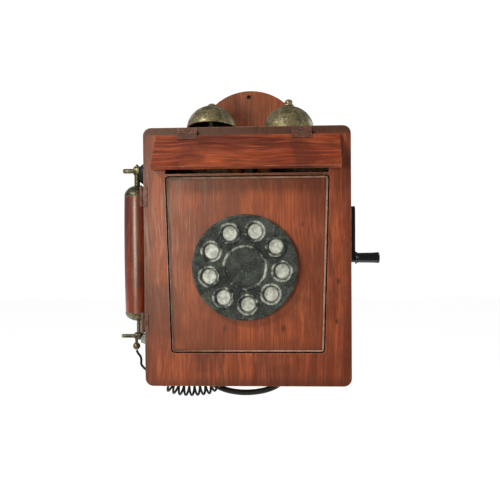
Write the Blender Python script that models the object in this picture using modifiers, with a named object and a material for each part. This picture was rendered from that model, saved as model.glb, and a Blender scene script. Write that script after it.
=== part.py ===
"""Wall crank telephone: hinged wooden case, two gongs, rotary dial, crank magneto and side handset.

Metres, +Z up. The wall is the plane y = 0 and the front faces -Y. The origin lies on the rear face
of the backboard, level with the middle of the case.
"""
import math

import bmesh
import bpy
from mathutils import Vector

MM = 0.001
GAP = 0.3 * MM            # gap kept between pieces that touch
CLEARANCE = 0.5 * MM      # gap around a piece that turns or slides

# Wooden case
CASE_WIDTH = 261 * MM
CASE_HEIGHT = 310 * MM
CASE_DEPTH = 95 * MM
WALL = 12 * MM
ARCH_RADIUS = 75 * MM
ARCH_CENTRE_Z = 153.3 * MM
HANGING_HOLE = Vector((-2, 0, 218)) * MM
HANGING_HOLE_RADIUS = 1.8 * MM
HANGING_HOLE_SLOPE = math.radians(14)   # it falls towards the wall

# Door: front board with a tapering opening, filled by a fielded panel
DOOR_HEIGHT = 326.7 * MM
DOOR_CENTRE_Z = -0.75 * MM
DOOR_THICKNESS = 14 * MM
DOOR_CORNER_RADIUS = 10 * MM
OPENING_TOP = (-103.2 * MM, 104 * MM, 101.8 * MM)        # left x, right x, z
OPENING_BOTTOM = (-97.4 * MM, 97.2 * MM, -122.2 * MM)
OPENING_CORNER_RADIUS = 5 * MM
SLOT = (-103 * MM, 103 * MM, 104.4 * MM, 140 * MM)    # left x, right x, bottom z, top z
PANEL_GROOVE = 1.5 * MM   # between the panel's field and the board
PANEL_RECESS = 1.8 * MM   # how far the field lies behind the board's front
PANEL_FLANGE = 9 * MM     # how far the panel's rear flange passes the opening
PANEL_FLANGE_THICKNESS = 4 * MM

# Sloping lid over the top of the opening
LID_X = (-113.5 * MM, 117 * MM)
LID_THICKNESS = 6 * MM
LID_LEAN = math.radians(30)
LID_SPLAY = 0.09          # the left end widens downwards by this much of the drop
LID_HINGE_Z = 155.4 * MM
LID_TOP_Z = 152.1 * MM
LID_BOTTOM_Z = 110.8 * MM
LID_TOP_STANDOFF = 4.2 * MM
LID_HINGE_STANDOFF = 2.6 * MM
LID_HINGE_X = (-74 * MM, 69.5 * MM)
CHEEK_INNER_X = (-104 * MM, 104 * MM)
CHEEK_BOTTOM_Z = 109 * MM
CHEEK_EDGE = 0.9 * MM

# Hinges
HINGE_LENGTH = 25 * MM
KNUCKLE_RADIUS = 2.2 * MM
LEAF_THICKNESS = 1.0 * MM
HINGE_PIN_RADIUS = 0.9 * MM
DOOR_HINGE_X = -133.2 * MM
DOOR_HINGE_Z = {"upper": 76.5 * MM, "lower": -83.5 * MM}

# Gongs on the top board
GONG_RADIUS = 33 * MM
GONG_HEIGHT = 32 * MM
GONG_SHEET = 1.6 * MM
GONG_Y = -71 * MM
GONG_RIM = {"left": (-48.8 * MM, 166 * MM, math.radians(12)), "right": (53.5 * MM, 164 * MM, 0.0)}
GONG_POST_RADIUS = 3.5 * MM
GONG_NECK_RADIUS = 2.2 * MM

# Ringer under the top board
RINGER_X = 2.35 * MM
RINGER_Y = -71 * MM
COIL_SPACING = 19 * MM
COIL_RADIUS = 12 * MM
COIL_BOTTOM_Z = 99 * MM
COIL_HEIGHT = 30 * MM
CLAPPER_PIVOT_Z = 136 * MM
CLAPPER_BALL_Z = 165.5 * MM
CLAPPER_BALL_SPREAD = 13.4 * MM

# Rotary dial
DIAL_CENTRE = Vector((-2.4, 0, -13.7)) * MM
DIAL_RADIUS = 66.5 * MM
DIAL_HOLES = 9
DIAL_HOLE_CIRCLE = 46.6 * MM
DIAL_HOLE_RADIUS = 10 * MM
DIAL_SPOT_RADIUS = 8.7 * MM
DIAL_FIRST_HOLE = math.radians(34)
DIAL_CAP_RADIUS = 26 * MM
DIAL_GEAR_TEETH = 36
GOVERNOR_TEETH = 9
DIAL_MODULE = 1.2 * MM

# Crank and magneto
CRANK_Y = -62 * MM
CRANK_Z = 57 * MM
CRANK_THROW = 61.6 * MM
CRANK_ARM_X = (134 * MM, 140.2 * MM)
CRANK_ARM_RADIUS = 7 * MM
KNOB_X = (140.7 * MM, 172.2 * MM)
KNOB_RADIUS = 6.8 * MM
SHAFT_RADIUS = 4 * MM
CRANK_GEAR_TEETH = 40
ARMATURE_TEETH = 10
MAGNETO_MODULE = 1.5 * MM
ARMATURE_RADIUS = 11 * MM
MAGNET_CENTRES_X = (59 * MM, 80 * MM)
MAGNET_THICKNESS = 18 * MM

# Handset at the left, on two pegs
HANDSET_X = -150 * MM
HANDSET_Y = -66.5 * MM
HANDLE_TOP_Z = 79 * MM
HANDLE_BOTTOM_Z = -75.7 * MM
HANDLE_RADIUS = 18 * MM
CROSS_Z = {"upper": 113.5 * MM, "lower": -108.1 * MM}
FINIAL_X = {"upper": -168.8 * MM, "lower": -173.2 * MM}
LUG_RADIUS = 2.5 * MM
LUG_END_Y = -45.5 * MM
CUP_X = (-145.3 * MM, -132 * MM)
RECEIVER_Z = 109 * MM
RECEIVER_RADIUS = 14 * MM
TRANSMITTER_Z = -112.5 * MM
CORD_BALL_X = -153.3 * MM
CORD_BALL_Z = -121.7 * MM
HOOK_PIVOT = Vector((-104, 0, 110)) * MM

# Cords, as routes of hand-chosen points
CORD_RADIUS = 1.5 * MM
CURL_RADIUS = 7.2 * MM
CABLE_RADIUS = 4 * MM
CORD_TAIL_ROUTE = ((-153.2, -66.5, -127.3), (-151.8, -66.5, -131), (-148.2, -66.4, -136), (-147.2, -66, -141),
                   (-147.6, -65.5, -146), (-145, -64.8, -150.6), (-140, -64, -155.5), (-134, -63.2, -161),
                   (-127.5, -62.6, -166.6), (-121, -62, -171.4))
CURL_ROUTE = ((-120.6, -62, -171.7), (-112, -62, -176.4), (-99, -62, -181.2), (-85, -62, -183.2),
              (-74, -62, -182.8), (-62, -62, -181.2), (-50, -62, -178.6), (-40, -62, -175.2),
              (-34, -62, -171.2), (-31.6, -62, -166.2), (-31.5, -62, -162))
CABLE_ROUTE = ((-62, -36.5, -146.5), (-62, -36.5, -157.5), (-61, -36.5, -166), (-56.5, -36.5, -175),
               (-47, -36.5, -182.5), (-30, -36.5, -188.5), (-8, -36.5, -190.8), (14, -36.5, -188.5),
               (31, -36.5, -183), (41, -36.5, -175.5), (45.5, -36.5, -166), (46.5, -36.5, -157.5),
               (46.5, -36.5, -146.5))

# Planes that the pieces share
BACKBOARD_FRONT = -WALL
CASE_BACK = BACKBOARD_FRONT - GAP
CASE_FRONT = BACKBOARD_FRONT - CASE_DEPTH
DOOR_BACK = CASE_FRONT - CLEARANCE
DOOR_FRONT = DOOR_BACK - DOOR_THICKNESS
PANEL_FRONT = DOOR_FRONT + PANEL_RECESS
PANEL_BACK = DOOR_BACK + GAP + PANEL_FLANGE_THICKNESS
CASE_HALF = CASE_WIDTH / 2
CASE_TOP = CASE_HEIGHT / 2
INNER_HALF = CASE_HALF - WALL
INNER_TOP = CASE_TOP - WALL

# How a piece's own z axis is turned
UP = (0, 0, 0)
FORWARD = (math.radians(90), 0, 0)                   # own x, y, z lie along +x, +z, -y
BACKWARD = (math.radians(-90), 0, 0)                 # own x, y, z lie along +x, -z, +y
RIGHTWARD = (math.radians(90), 0, math.radians(90))  # own x, y, z lie along +y, +z, +x

MATERIALS = {
    "case_wood": ((0.27, 0.070, 0.030), 0.45, 0.0),
    "arch_wood": ((0.38, 0.130, 0.055), 0.50, 0.0),
    "lid_wood": ((0.36, 0.085, 0.035), 0.42, 0.0),
    "inside_wood": ((0.34, 0.190, 0.090), 0.65, 0.0),
    "aged_brass": ((0.24, 0.220, 0.120), 0.50, 0.8),
    "dark_iron": ((0.030, 0.032, 0.030), 0.40, 0.7),
    "bright_steel": ((0.45, 0.45, 0.44), 0.35, 1.0),
    "pewter": ((0.050, 0.060, 0.055), 0.50, 0.6),
    "silver_spot": ((0.60, 0.61, 0.57), 0.45, 0.5),
    "black_plastic": ((0.010, 0.012, 0.010), 0.20, 0.0),
    "copper_winding": ((0.36, 0.120, 0.050), 0.50, 0.3),
    "card": ((0.42, 0.330, 0.200), 0.80, 0.0),
    "cord_black": ((0.012, 0.014, 0.013), 0.45, 0.0),
}


def clear_scene():
    for thing in list(bpy.data.objects):
        bpy.data.objects.remove(thing, do_unlink=True)


def make_collection(name):
    collection = bpy.data.collections.new(name)
    bpy.context.scene.collection.children.link(collection)
    return collection


def make_materials():
    for name, (colour, roughness, metallic) in MATERIALS.items():
        material = bpy.data.materials.new(name)
        material.use_nodes = True
        shader = material.node_tree.nodes["Principled BSDF"]
        shader.inputs["Base Color"].default_value = (*colour, 1)
        shader.inputs["Roughness"].default_value = roughness
        shader.inputs["Metallic"].default_value = metallic


def place(name, data, location, turn, material):
    """Put mesh or curve data in the scene: a part when it has a material, else a cutter."""
    piece = bpy.data.objects.new(name, data)
    piece.location = location
    piece.rotation_euler = turn
    if material:
        data.materials.append(bpy.data.materials[material])
        PARTS.objects.link(piece)
    else:
        piece.hide_render = True
        piece.display_type = "WIRE"
        CUTTERS.objects.link(piece)
    return piece


def box(name, low, high, material=None, bevel=0.0):
    low, high = Vector(low), Vector(high)
    solid = bmesh.new()
    bmesh.ops.create_cube(solid, size=1)
    bmesh.ops.scale(solid, vec=high - low, verts=solid.verts)
    mesh = bpy.data.meshes.new(name)
    solid.to_mesh(mesh)
    solid.free()
    piece = place(name, mesh, (low + high) / 2, UP, material)
    if bevel:
        rounding = piece.modifiers.new("Rounded edges", "BEVEL")
        rounding.width = bevel
        rounding.segments = 1
    return piece


def turned(name, profile, location, turn, material=None, segments=24, ring=False):
    """Turn a profile of (radius, height) about its own z axis; a ring's profile closes on itself."""
    mesh = bpy.data.meshes.new(name)
    edges = [(i, i + 1) for i in range(len(profile) - 1)]
    if ring:
        edges.append((len(profile) - 1, 0))
    mesh.from_pydata([(radius, 0, height) for radius, height in profile], edges, [])
    piece = place(name, mesh, location, turn, material)
    screw = piece.modifiers.new("Turned", "SCREW")
    screw.steps = segments
    screw.render_steps = segments
    screw.use_merge_vertices = True
    screw.merge_threshold = 0.00001
    screw.use_smooth_shade = True
    return piece


def cylinder(name, radius, low, high, location, turn, material=None, segments=24):
    profile = [(0, high), (radius, high), (radius, low), (0, low)]
    return turned(name, profile, location, turn, material, segments)


def plate(name, outlines, thickness, location, turn, material=None):
    """Extrude flat outlines, the later ones being holes, by half the thickness to each side."""
    curve = bpy.data.curves.new(name, "CURVE")
    curve.dimensions = "2D"
    curve.fill_mode = "BOTH"
    curve.extrude = thickness / 2
    for outline in outlines:
        spline = curve.splines.new("POLY")
        spline.points.add(len(outline) - 1)
        spline.use_cyclic_u = True
        for point, (x, y) in zip(spline.points, outline):
            point.co = (x, y, 0, 1)
    flat = place(name + "_outline", curve, location, turn, None)
    return mesh_from_curve(flat, name, material)


def mesh_from_curve(flat, name, material):
    """Replace a curve by the welded mesh of it, so that it can be cut and joined."""
    bpy.context.view_layer.update()
    evaluated = flat.evaluated_get(bpy.context.evaluated_depsgraph_get())
    mesh = bpy.data.meshes.new_from_object(evaluated)
    solid = bmesh.new()
    solid.from_mesh(mesh)
    bmesh.ops.remove_doubles(solid, verts=solid.verts, dist=0.00001)
    solid.to_mesh(mesh)
    solid.free()
    mesh.materials.clear()
    mesh.name = name
    piece = place(name, mesh, (0, 0, 0), UP, material)
    piece.matrix_world = flat.matrix_world
    bpy.data.objects.remove(flat)
    return piece


def combine(piece, others, operation):
    for other in others:
        boolean = piece.modifiers.new(other.name, "BOOLEAN")
        boolean.operation = operation
        boolean.solver = "EXACT"
        boolean.object = other
    return piece


def cut(piece, *cutters):
    return combine(piece, cutters, "DIFFERENCE")


def join(piece, *additions):
    return combine(piece, additions, "UNION")


def arc(centre_x, centre_y, radius, start, end, steps):
    """Points of an arc from start to end, in degrees."""
    points = []
    for i in range(steps + 1):
        angle = math.radians(start + (end - start) * i / steps)
        points.append((centre_x + radius * math.cos(angle), centre_y + radius * math.sin(angle)))
    return points


def rounded_rectangle(half_width, half_height, radius, steps=5):
    x, y = half_width - radius, half_height - radius
    return (arc(x, y, radius, 0, 90, steps) + arc(-x, y, radius, 90, 180, steps)
            + arc(-x, -y, radius, 180, 270, steps) + arc(x, -y, radius, 270, 360, steps))


def smooth_route(route, step):
    """Points about a step apart on a Catmull-Rom curve through a route given in millimetres."""
    knots = [Vector(point) * MM for point in route]
    knots = [2 * knots[0] - knots[1]] + knots + [2 * knots[-1] - knots[-2]]
    points = [knots[1]]
    for before, start, end, after in zip(knots, knots[1:], knots[2:], knots[3:]):
        count = max(1, round((end - start).length / step))
        for i in range(1, count + 1):
            t = i / count
            points.append(0.5 * (2 * start + (end - before) * t
                                 + (2 * before - 5 * start + 4 * end - after) * t ** 2
                                 + (3 * start - before - 3 * end + after) * t ** 3))
    return points


def tube(name, route, radius, step, material, resolution=2):
    curve = bpy.data.curves.new(name, "CURVE")
    curve.dimensions = "3D"
    curve.bevel_depth = radius
    curve.bevel_resolution = resolution
    curve.use_fill_caps = True
    curve.render_resolution_u = 0
    points = smooth_route(route, step)
    spline = curve.splines.new("POLY")
    spline.points.add(len(points) - 1)
    for point, place_at in zip(spline.points, points):
        point.co = (*place_at, 1)
    return place(name, curve, (0, 0, 0), UP, material)


def gear_outline(teeth, module, phase):
    """Outline of a spur gear whose first tooth points at the phase angle."""
    pitch_radius = module * teeth / 2
    tip, root = pitch_radius + 0.75 * module, pitch_radius - 1.1 * module
    flanks = ((root, -0.28), (tip, -0.12), (tip, 0.12), (root, 0.28))
    outline = []
    for tooth in range(teeth):
        for radius, offset in flanks:
            angle = phase + (tooth + offset) * 2 * math.pi / teeth
            outline.append((radius * math.cos(angle), radius * math.sin(angle)))
    return outline


def panel_outline(grow, top_grow, corner_radius):
    """Outline of the door's tapering opening, grown by a margin, with rounded corners."""
    (top_left, top_right, top), (bottom_left, bottom_right, bottom) = OPENING_TOP, OPENING_BOTTOM
    corners = [(bottom_left - grow, bottom - grow), (bottom_right + grow, bottom - grow),
               (top_right + grow, top + top_grow), (top_left - grow, top + top_grow)]
    if not corner_radius:
        return corners
    outline = []
    for before, corner, after in zip(corners[-1:] + corners, corners, corners[1:] + corners[:1]):
        before, corner, after = Vector(before), Vector(corner), Vector(after)
        start = corner + (before - corner).normalized() * corner_radius
        end = corner + (after - corner).normalized() * corner_radius
        for i in range(5):
            t = i / 4
            outline.append(tuple((1 - t) ** 2 * start + 2 * t * (1 - t) * corner + t ** 2 * end))
    return outline


def make_backboard():
    arch = arc(0, ARCH_CENTRE_Z, ARCH_RADIUS, -1, 181, 36)
    outline = [(-CASE_HALF, CASE_TOP), (-CASE_HALF, -CASE_TOP), (CASE_HALF, -CASE_TOP), (CASE_HALF, CASE_TOP)]
    board = plate("backboard", [outline + arch], WALL, (0, -WALL / 2, 0), FORWARD, "arch_wood")
    sink = HANGING_HOLE_RADIUS * 1.7
    front = WALL / 2
    profile = [(0, front + 4 * MM), (sink, front + 4 * MM), (sink, front - MM / 2),
               (HANGING_HOLE_RADIUS, front - 2.5 * MM), (HANGING_HOLE_RADIUS, -front - 4 * MM),
               (0, -front - 4 * MM)]
    turn = (FORWARD[0] - HANGING_HOLE_SLOPE, 0, 0)
    middle = HANGING_HOLE + Vector((0, -WALL / 2, 0))
    cut(board, turned("cut_hanging_hole", profile, middle, turn, segments=20))


def make_case():
    make_backboard()
    for name, side in (("side_left", -1), ("side_right", 1)):
        edges = sorted((side * INNER_HALF, side * CASE_HALF))
        wall = box(name, (edges[0], CASE_FRONT, -CASE_TOP), (edges[1], CASE_BACK, CASE_TOP), "case_wood", 1.5 * MM)
        if side > 0:
            cut(wall, cylinder("cut_bush", 8 * MM + GAP, INNER_HALF - MM, CASE_HALF + MM,
                               (0, CRANK_Y, CRANK_Z), RIGHTWARD))
    inner = INNER_HALF - GAP
    top = box("top_board", (-inner, CASE_FRONT, INNER_TOP), (inner, CASE_BACK, CASE_TOP), "case_wood")
    slot = Vector((4.5, 4, 0)) * MM
    middle = Vector((RINGER_X, RINGER_Y, 0))
    cut(top, box("cut_clapper_slot", middle - slot + Vector((0, 0, INNER_TOP - MM)),
                 middle + slot + Vector((0, 0, CASE_TOP + MM))))
    for side, (x, z, lean) in GONG_RIM.items():
        cut(top, cylinder("cut_post_" + side, GONG_POST_RADIUS + CLEARANCE, -40 * MM, 10 * MM,
                          (x, GONG_Y, z), (-lean, 0, 0), segments=16))
    bottom = box("bottom_board", (-inner, CASE_FRONT, -CASE_TOP), (inner, CASE_BACK, -INNER_TOP), "case_wood")
    gland_x, gland_y, gland_z = CURL_ROUTE[-1]
    cut(bottom, cylinder("cut_gland", 4.5 * MM + GAP, -CASE_TOP - MM, MM - INNER_TOP,
                         (gland_x * MM, gland_y * MM, 0), UP))
    for side, (x, y, z) in (("left", CABLE_ROUTE[0]), ("right", CABLE_ROUTE[-1])):
        cut(bottom, cylinder("cut_cable_" + side, CABLE_RADIUS + CLEARANCE, -CASE_TOP - MM, (z + 1) * MM,
                             (x * MM, y * MM, 0), UP))


def make_door():
    outer = [(x, z + DOOR_CENTRE_Z)
             for x, z in rounded_rectangle(CASE_HALF, DOOR_HEIGHT / 2, DOOR_CORNER_RADIUS)]
    left, right, low, high = SLOT
    slot = [(left, low), (right, low), (right, high), (left, high)]
    outlines = [outer, panel_outline(0, 0, OPENING_CORNER_RADIUS), slot]
    plate("door_board", outlines, DOOR_THICKNESS, (0, (DOOR_FRONT + DOOR_BACK) / 2, 0), FORWARD, "case_wood")
    field = panel_outline(-PANEL_GROOVE, -PANEL_GROOVE, OPENING_CORNER_RADIUS - PANEL_GROOVE)
    depth = PANEL_BACK - MM - PANEL_FRONT
    panel = plate("door_panel", [field], depth, (0, PANEL_FRONT + depth / 2, 0), FORWARD, "case_wood")
    flange = panel_outline(PANEL_FLANGE, MM, 0)
    flange_y = PANEL_BACK - PANEL_FLANGE_THICKNESS / 2
    join(panel, plate("add_panel_flange", [flange], PANEL_FLANGE_THICKNESS, (0, flange_y, 0), FORWARD))
    shaft = DIAL_CENTRE + Vector((0, PANEL_FRONT, 0))
    cut(panel, cylinder("cut_dial_shaft", SHAFT_RADIUS + CLEARANCE, -30 * MM, 5 * MM, shaft, FORWARD))
    cut(panel, cylinder("cut_governor", 2 * MM + CLEARANCE, -5 * MM, 6 * MM,
                        governor_centre() + Vector((0, PANEL_BACK, 0)), FORWARD, segments=16))
    box("door_catch", (INNER_HALF - 6.2 * MM, CASE_FRONT + GAP, -70 * MM),
        (INNER_HALF - GAP, CASE_FRONT + 12 * MM, -50 * MM), "bright_steel", 1 * MM)


def lid_section():
    """Corners of the lid's section as (y, z): front top, front bottom, back bottom, board foot, top."""
    length = (LID_TOP_Z - LID_BOTTOM_Z) / math.cos(LID_LEAN)
    top = Vector((DOOR_FRONT - LID_TOP_STANDOFF, LID_TOP_Z))
    down = Vector((-math.sin(LID_LEAN), -math.cos(LID_LEAN)))
    inward = Vector((math.cos(LID_LEAN), -math.sin(LID_LEAN)))
    front_bottom = top + length * down
    back_bottom = front_bottom + LID_THICKNESS * inward
    foot_y = DOOR_FRONT - GAP
    foot = back_bottom - (foot_y - back_bottom.x) / math.sin(LID_LEAN) * down
    return [tuple(top), tuple(front_bottom), tuple(back_bottom), tuple(foot), (foot_y, LID_TOP_Z)]


def splay(piece):
    """Widen a lid piece towards its bottom at its left end; its own y, z lie along +z, +x."""
    for vertex in piece.data.vertices:
        if vertex.co.z < 0:
            vertex.co.z -= LID_SPLAY * (LID_TOP_Z - vertex.co.y)


def make_lid():
    section = lid_section()
    left, right = LID_X
    splay(plate("lid_board", [section], right - left, ((left + right) / 2, 0, 0), RIGHTWARD, "lid_wood"))
    slope = math.tan(LID_LEAN)
    foot_y, foot_z = section[3]
    top_z = foot_z - (CHEEK_EDGE + GAP) / slope
    reach = (foot_z - CHEEK_BOTTOM_Z) * slope - GAP * 1.2
    cheek = [(foot_y, top_z), (foot_y - CHEEK_EDGE, top_z), (foot_y - reach, CHEEK_BOTTOM_Z),
             (foot_y, CHEEK_BOTTOM_Z)]
    for name, low, high in (("lid_cheek_left", left, CHEEK_INNER_X[0]),
                            ("lid_cheek_right", CHEEK_INNER_X[1], right)):
        piece = plate(name, [cheek], high - low, ((low + high) / 2, 0, 0), RIGHTWARD, "case_wood")
        if high < 0:
            splay(piece)


def hinge_leaf(name, origin, turn, knuckles, offset, reach, material):
    """A hinge leaf: its axis is its own z axis, and its plate reaches along its own x axis."""
    clear = KNUCKLE_RADIUS + 0.4 * MM
    half = HINGE_LENGTH / 2
    low_y, high_y = offset - LEAF_THICKNESS / 2, offset + LEAF_THICKNESS / 2
    corners = [(clear, low_y), (reach, low_y), (reach, high_y), (clear, high_y)]
    leaf = plate(name, [corners], HINGE_LENGTH, origin, turn, material)
    additions = []
    for index, (low, high) in enumerate(knuckles):
        middle = (low + high) / 2 * half
        length = (high - low) * half - GAP
        shift = leaf.matrix_world.to_3x3() @ Vector((0, 0, middle))
        web = [(0, low_y), (clear + 0.5 * MM, low_y), (clear + 0.5 * MM, high_y), (0, high_y)]
        additions.append(plate(f"add_{name}_web{index}", [web], length, Vector(origin) + shift, turn))
        additions.append(cylinder(f"add_{name}_knuckle{index}", KNUCKLE_RADIUS, -length / 2, length / 2,
                                  Vector(origin) + shift, turn, segments=16))
    join(leaf, *additions)
    cut(leaf, cylinder("cut_" + name, HINGE_PIN_RADIUS + GAP, -half - MM, half + MM, origin, turn, segments=12))
    return leaf


def hinge_pin(name, origin, turn, material):
    half = HINGE_LENGTH / 2
    head, lift = KNUCKLE_RADIUS * 0.8, half + GAP
    profile = [(0, lift + 1.2 * MM), (head * 0.6, lift + 1.2 * MM), (head, lift + 0.5 * MM), (head, lift),
               (HINGE_PIN_RADIUS, lift), (HINGE_PIN_RADIUS, -half), (0, -half)]
    turned(name, profile, origin, turn, material, segments=12)


OUTER_KNUCKLES = ((-1.0, -0.35), (0.35, 1.0))
INNER_KNUCKLES = ((-0.35, 0.35),)


def make_door_hinges():
    for level, z in DOOR_HINGE_Z.items():
        origin = (DOOR_HINGE_X, door_hinge_y(), z)
        offset = DOOR_HINGE_X + CASE_HALF + GAP + LEAF_THICKNESS / 2
        hinge_leaf(f"door_hinge_{level}_case_leaf", origin, (0, 0, math.radians(90)), OUTER_KNUCKLES,
                   offset, 26 * MM, "aged_brass")
        hinge_leaf(f"door_hinge_{level}_door_leaf", origin, UP, INNER_KNUCKLES, 0, 7.4 * MM, "aged_brass")
        hinge_pin(f"door_hinge_{level}_pin", origin, UP, "dark_iron")


def door_hinge_y():
    return DOOR_FRONT - GAP - LEAF_THICKNESS / 2


def lid_hinge_y():
    return DOOR_FRONT - LID_HINGE_STANDOFF


def make_lid_hinges():
    up_board = (math.radians(90), math.radians(-90), math.radians(90))
    down_lid = (math.radians(90), math.radians(90) + LID_LEAN, math.radians(90))
    axis = Vector((lid_hinge_y(), LID_HINGE_Z))
    corner = Vector(lid_section()[0])
    outward = Vector((-math.cos(LID_LEAN), math.sin(LID_LEAN)))
    depth_below_face = (corner - axis).dot(outward)
    for side, x in zip(("left", "right"), LID_HINGE_X):
        origin = (x, lid_hinge_y(), LID_HINGE_Z)
        board_offset = LID_HINGE_STANDOFF - GAP - LEAF_THICKNESS / 2
        hinge_leaf(f"lid_hinge_{side}_board_leaf", origin, up_board, OUTER_KNUCKLES, -board_offset, 6.3 * MM,
                   "aged_brass")
        lid_offset = depth_below_face + GAP + LEAF_THICKNESS / 2
        hinge_leaf(f"lid_hinge_{side}_lid_leaf", origin, down_lid, INNER_KNUCKLES, -lid_offset, 10 * MM,
                   "aged_brass")
        hinge_pin(f"lid_hinge_{side}_pin", origin, RIGHTWARD, "dark_iron")


def make_gongs():
    crown = GONG_HEIGHT
    bore = GONG_NECK_RADIUS + GAP
    inner_radius, inner_crown = GONG_RADIUS - GONG_SHEET, crown - GONG_SHEET
    angles = [math.radians(10 * i) for i in range(9)]
    outside = [(bore, crown)] + [(max(GONG_RADIUS * math.sin(a), bore + MM), crown * math.cos(a))
                                 for a in angles[1:]] + [(GONG_RADIUS, 0)]
    inside = [(inner_radius, 0)] + [(inner_radius * math.sin(a), inner_crown * math.cos(a))
                                    for a in reversed(angles[1:])] + [(bore, inner_crown)]
    for side, (x, z, lean) in GONG_RIM.items():
        origin, turn = (x, GONG_Y, z), (-lean, 0, 0)
        turned("gong_" + side, outside + inside, origin, turn, "aged_brass", 40, ring=True)
        shoulder = inner_crown * math.cos(angles[1]) - GAP
        post = [(0, crown + 2 * MM), (GONG_NECK_RADIUS, crown + 2 * MM), (GONG_NECK_RADIUS, shoulder),
                (5.5 * MM, shoulder), (5.5 * MM, shoulder - 3 * MM), (GONG_POST_RADIUS, shoulder - 4 * MM),
                (GONG_POST_RADIUS, -20 * MM), (0, -20 * MM)]
        turned("gong_post_" + side, post, origin, turn, "bright_steel", 16)
        foot = crown + GAP
        if side == "left":
            nut = [(0, foot + 4.4 * MM), (3 * MM, foot + 4.0 * MM), (5 * MM, foot + 2.8 * MM),
                   (6.4 * MM, foot + 1.0 * MM), (6.6 * MM, foot)]
        else:
            nut = [(0, foot + 8.6 * MM), (2.6 * MM, foot + 8 * MM), (4.6 * MM, foot + 6.6 * MM),
                   (5.4 * MM, foot + 4.4 * MM), (4.6 * MM, foot + 2.2 * MM), (6.6 * MM, foot + 1.2 * MM),
                   (6.8 * MM, foot)]
        nut += [(bore, foot), (bore, foot + 3 * MM), (0, foot + 3 * MM)]
        turned("gong_nut_" + side, nut, origin, turn, "aged_brass", 20)


def make_ringer():
    top = COIL_BOTTOM_Z - GAP
    low = top - 4 * MM
    rear = BACKBOARD_FRONT - GAP
    yoke = box("ringer_yoke", (RINGER_X - 33 * MM, RINGER_Y - 11 * MM, low), (RINGER_X + 33 * MM, RINGER_Y + 11 * MM, top),
               "dark_iron")
    arm = box("add_ringer_arm", (RINGER_X - 9 * MM, RINGER_Y, low), (RINGER_X + 9 * MM, rear, top))
    foot = box("add_ringer_foot", (RINGER_X - 9 * MM, rear - 4 * MM, low - 22 * MM), (RINGER_X + 9 * MM, rear, top))
    ears = []
    for index, y in enumerate((RINGER_Y - 9 * MM, RINGER_Y + 9 * MM)):
        ears.append(box(f"add_ringer_ear{index}", (RINGER_X - 4 * MM, y - MM, low),
                        (RINGER_X + 4 * MM, y + MM, CLAPPER_PIVOT_Z + 4 * MM)))
    join(yoke, arm, foot, *ears)
    pivot = (RINGER_X, RINGER_Y, CLAPPER_PIVOT_Z)
    cut(yoke, cylinder("cut_clapper_pivot", 1.3 * MM + GAP, -14 * MM, 14 * MM, pivot, FORWARD, segments=12))
    height = COIL_HEIGHT
    coil = [(0, height + 2 * MM), (3.5 * MM, height + 2 * MM), (3.5 * MM, height), (COIL_RADIUS, height),
            (COIL_RADIUS, height - 2 * MM), (COIL_RADIUS - 1.5 * MM, height - 2 * MM),
            (COIL_RADIUS - 1.5 * MM, 2 * MM), (COIL_RADIUS, 2 * MM), (COIL_RADIUS, 0), (0, 0)]
    for name, side in (("ringer_coil_left", -1), ("ringer_coil_right", 1)):
        turned(name, coil, (RINGER_X + side * COIL_SPACING, RINGER_Y, COIL_BOTTOM_Z), UP, "copper_winding", 24)
    make_clapper(pivot)


def make_clapper(pivot):
    half = Vector((31, 6.5, 2)) * MM
    clapper = box("ringer_clapper", Vector(pivot) - half, Vector(pivot) + half, "dark_iron")
    rod_top = CLAPPER_BALL_Z - CLAPPER_PIVOT_Z
    additions = [cylinder("add_clapper_pin", 1.3 * MM, -12 * MM, 12 * MM, pivot, FORWARD, segments=12),
                 cylinder("add_clapper_rod", 1.2 * MM, 0, rod_top, pivot, UP, segments=12)]
    head = Vector((RINGER_X, RINGER_Y, CLAPPER_BALL_Z))
    additions.append(cylinder("add_clapper_bar", 1.3 * MM, -CLAPPER_BALL_SPREAD, CLAPPER_BALL_SPREAD,
                              head, RIGHTWARD, segments=12))
    ball = [(3 * MM * math.sin(math.radians(a)), 3 * MM * math.cos(math.radians(a))) for a in range(0, 181, 30)]
    ball[0], ball[-1] = (0, 3 * MM), (0, -3 * MM)
    for index, side in enumerate((-1, 1)):
        additions.append(turned(f"add_clapper_ball{index}", ball,
                                head + Vector((side * CLAPPER_BALL_SPREAD, 0, 0)), UP, segments=12))
    join(clapper, *additions)


def governor_centre():
    distance = DIAL_MODULE * (DIAL_GEAR_TEETH + GOVERNOR_TEETH) / 2
    return DIAL_CENTRE + Vector((-distance, 0, 0))


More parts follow.
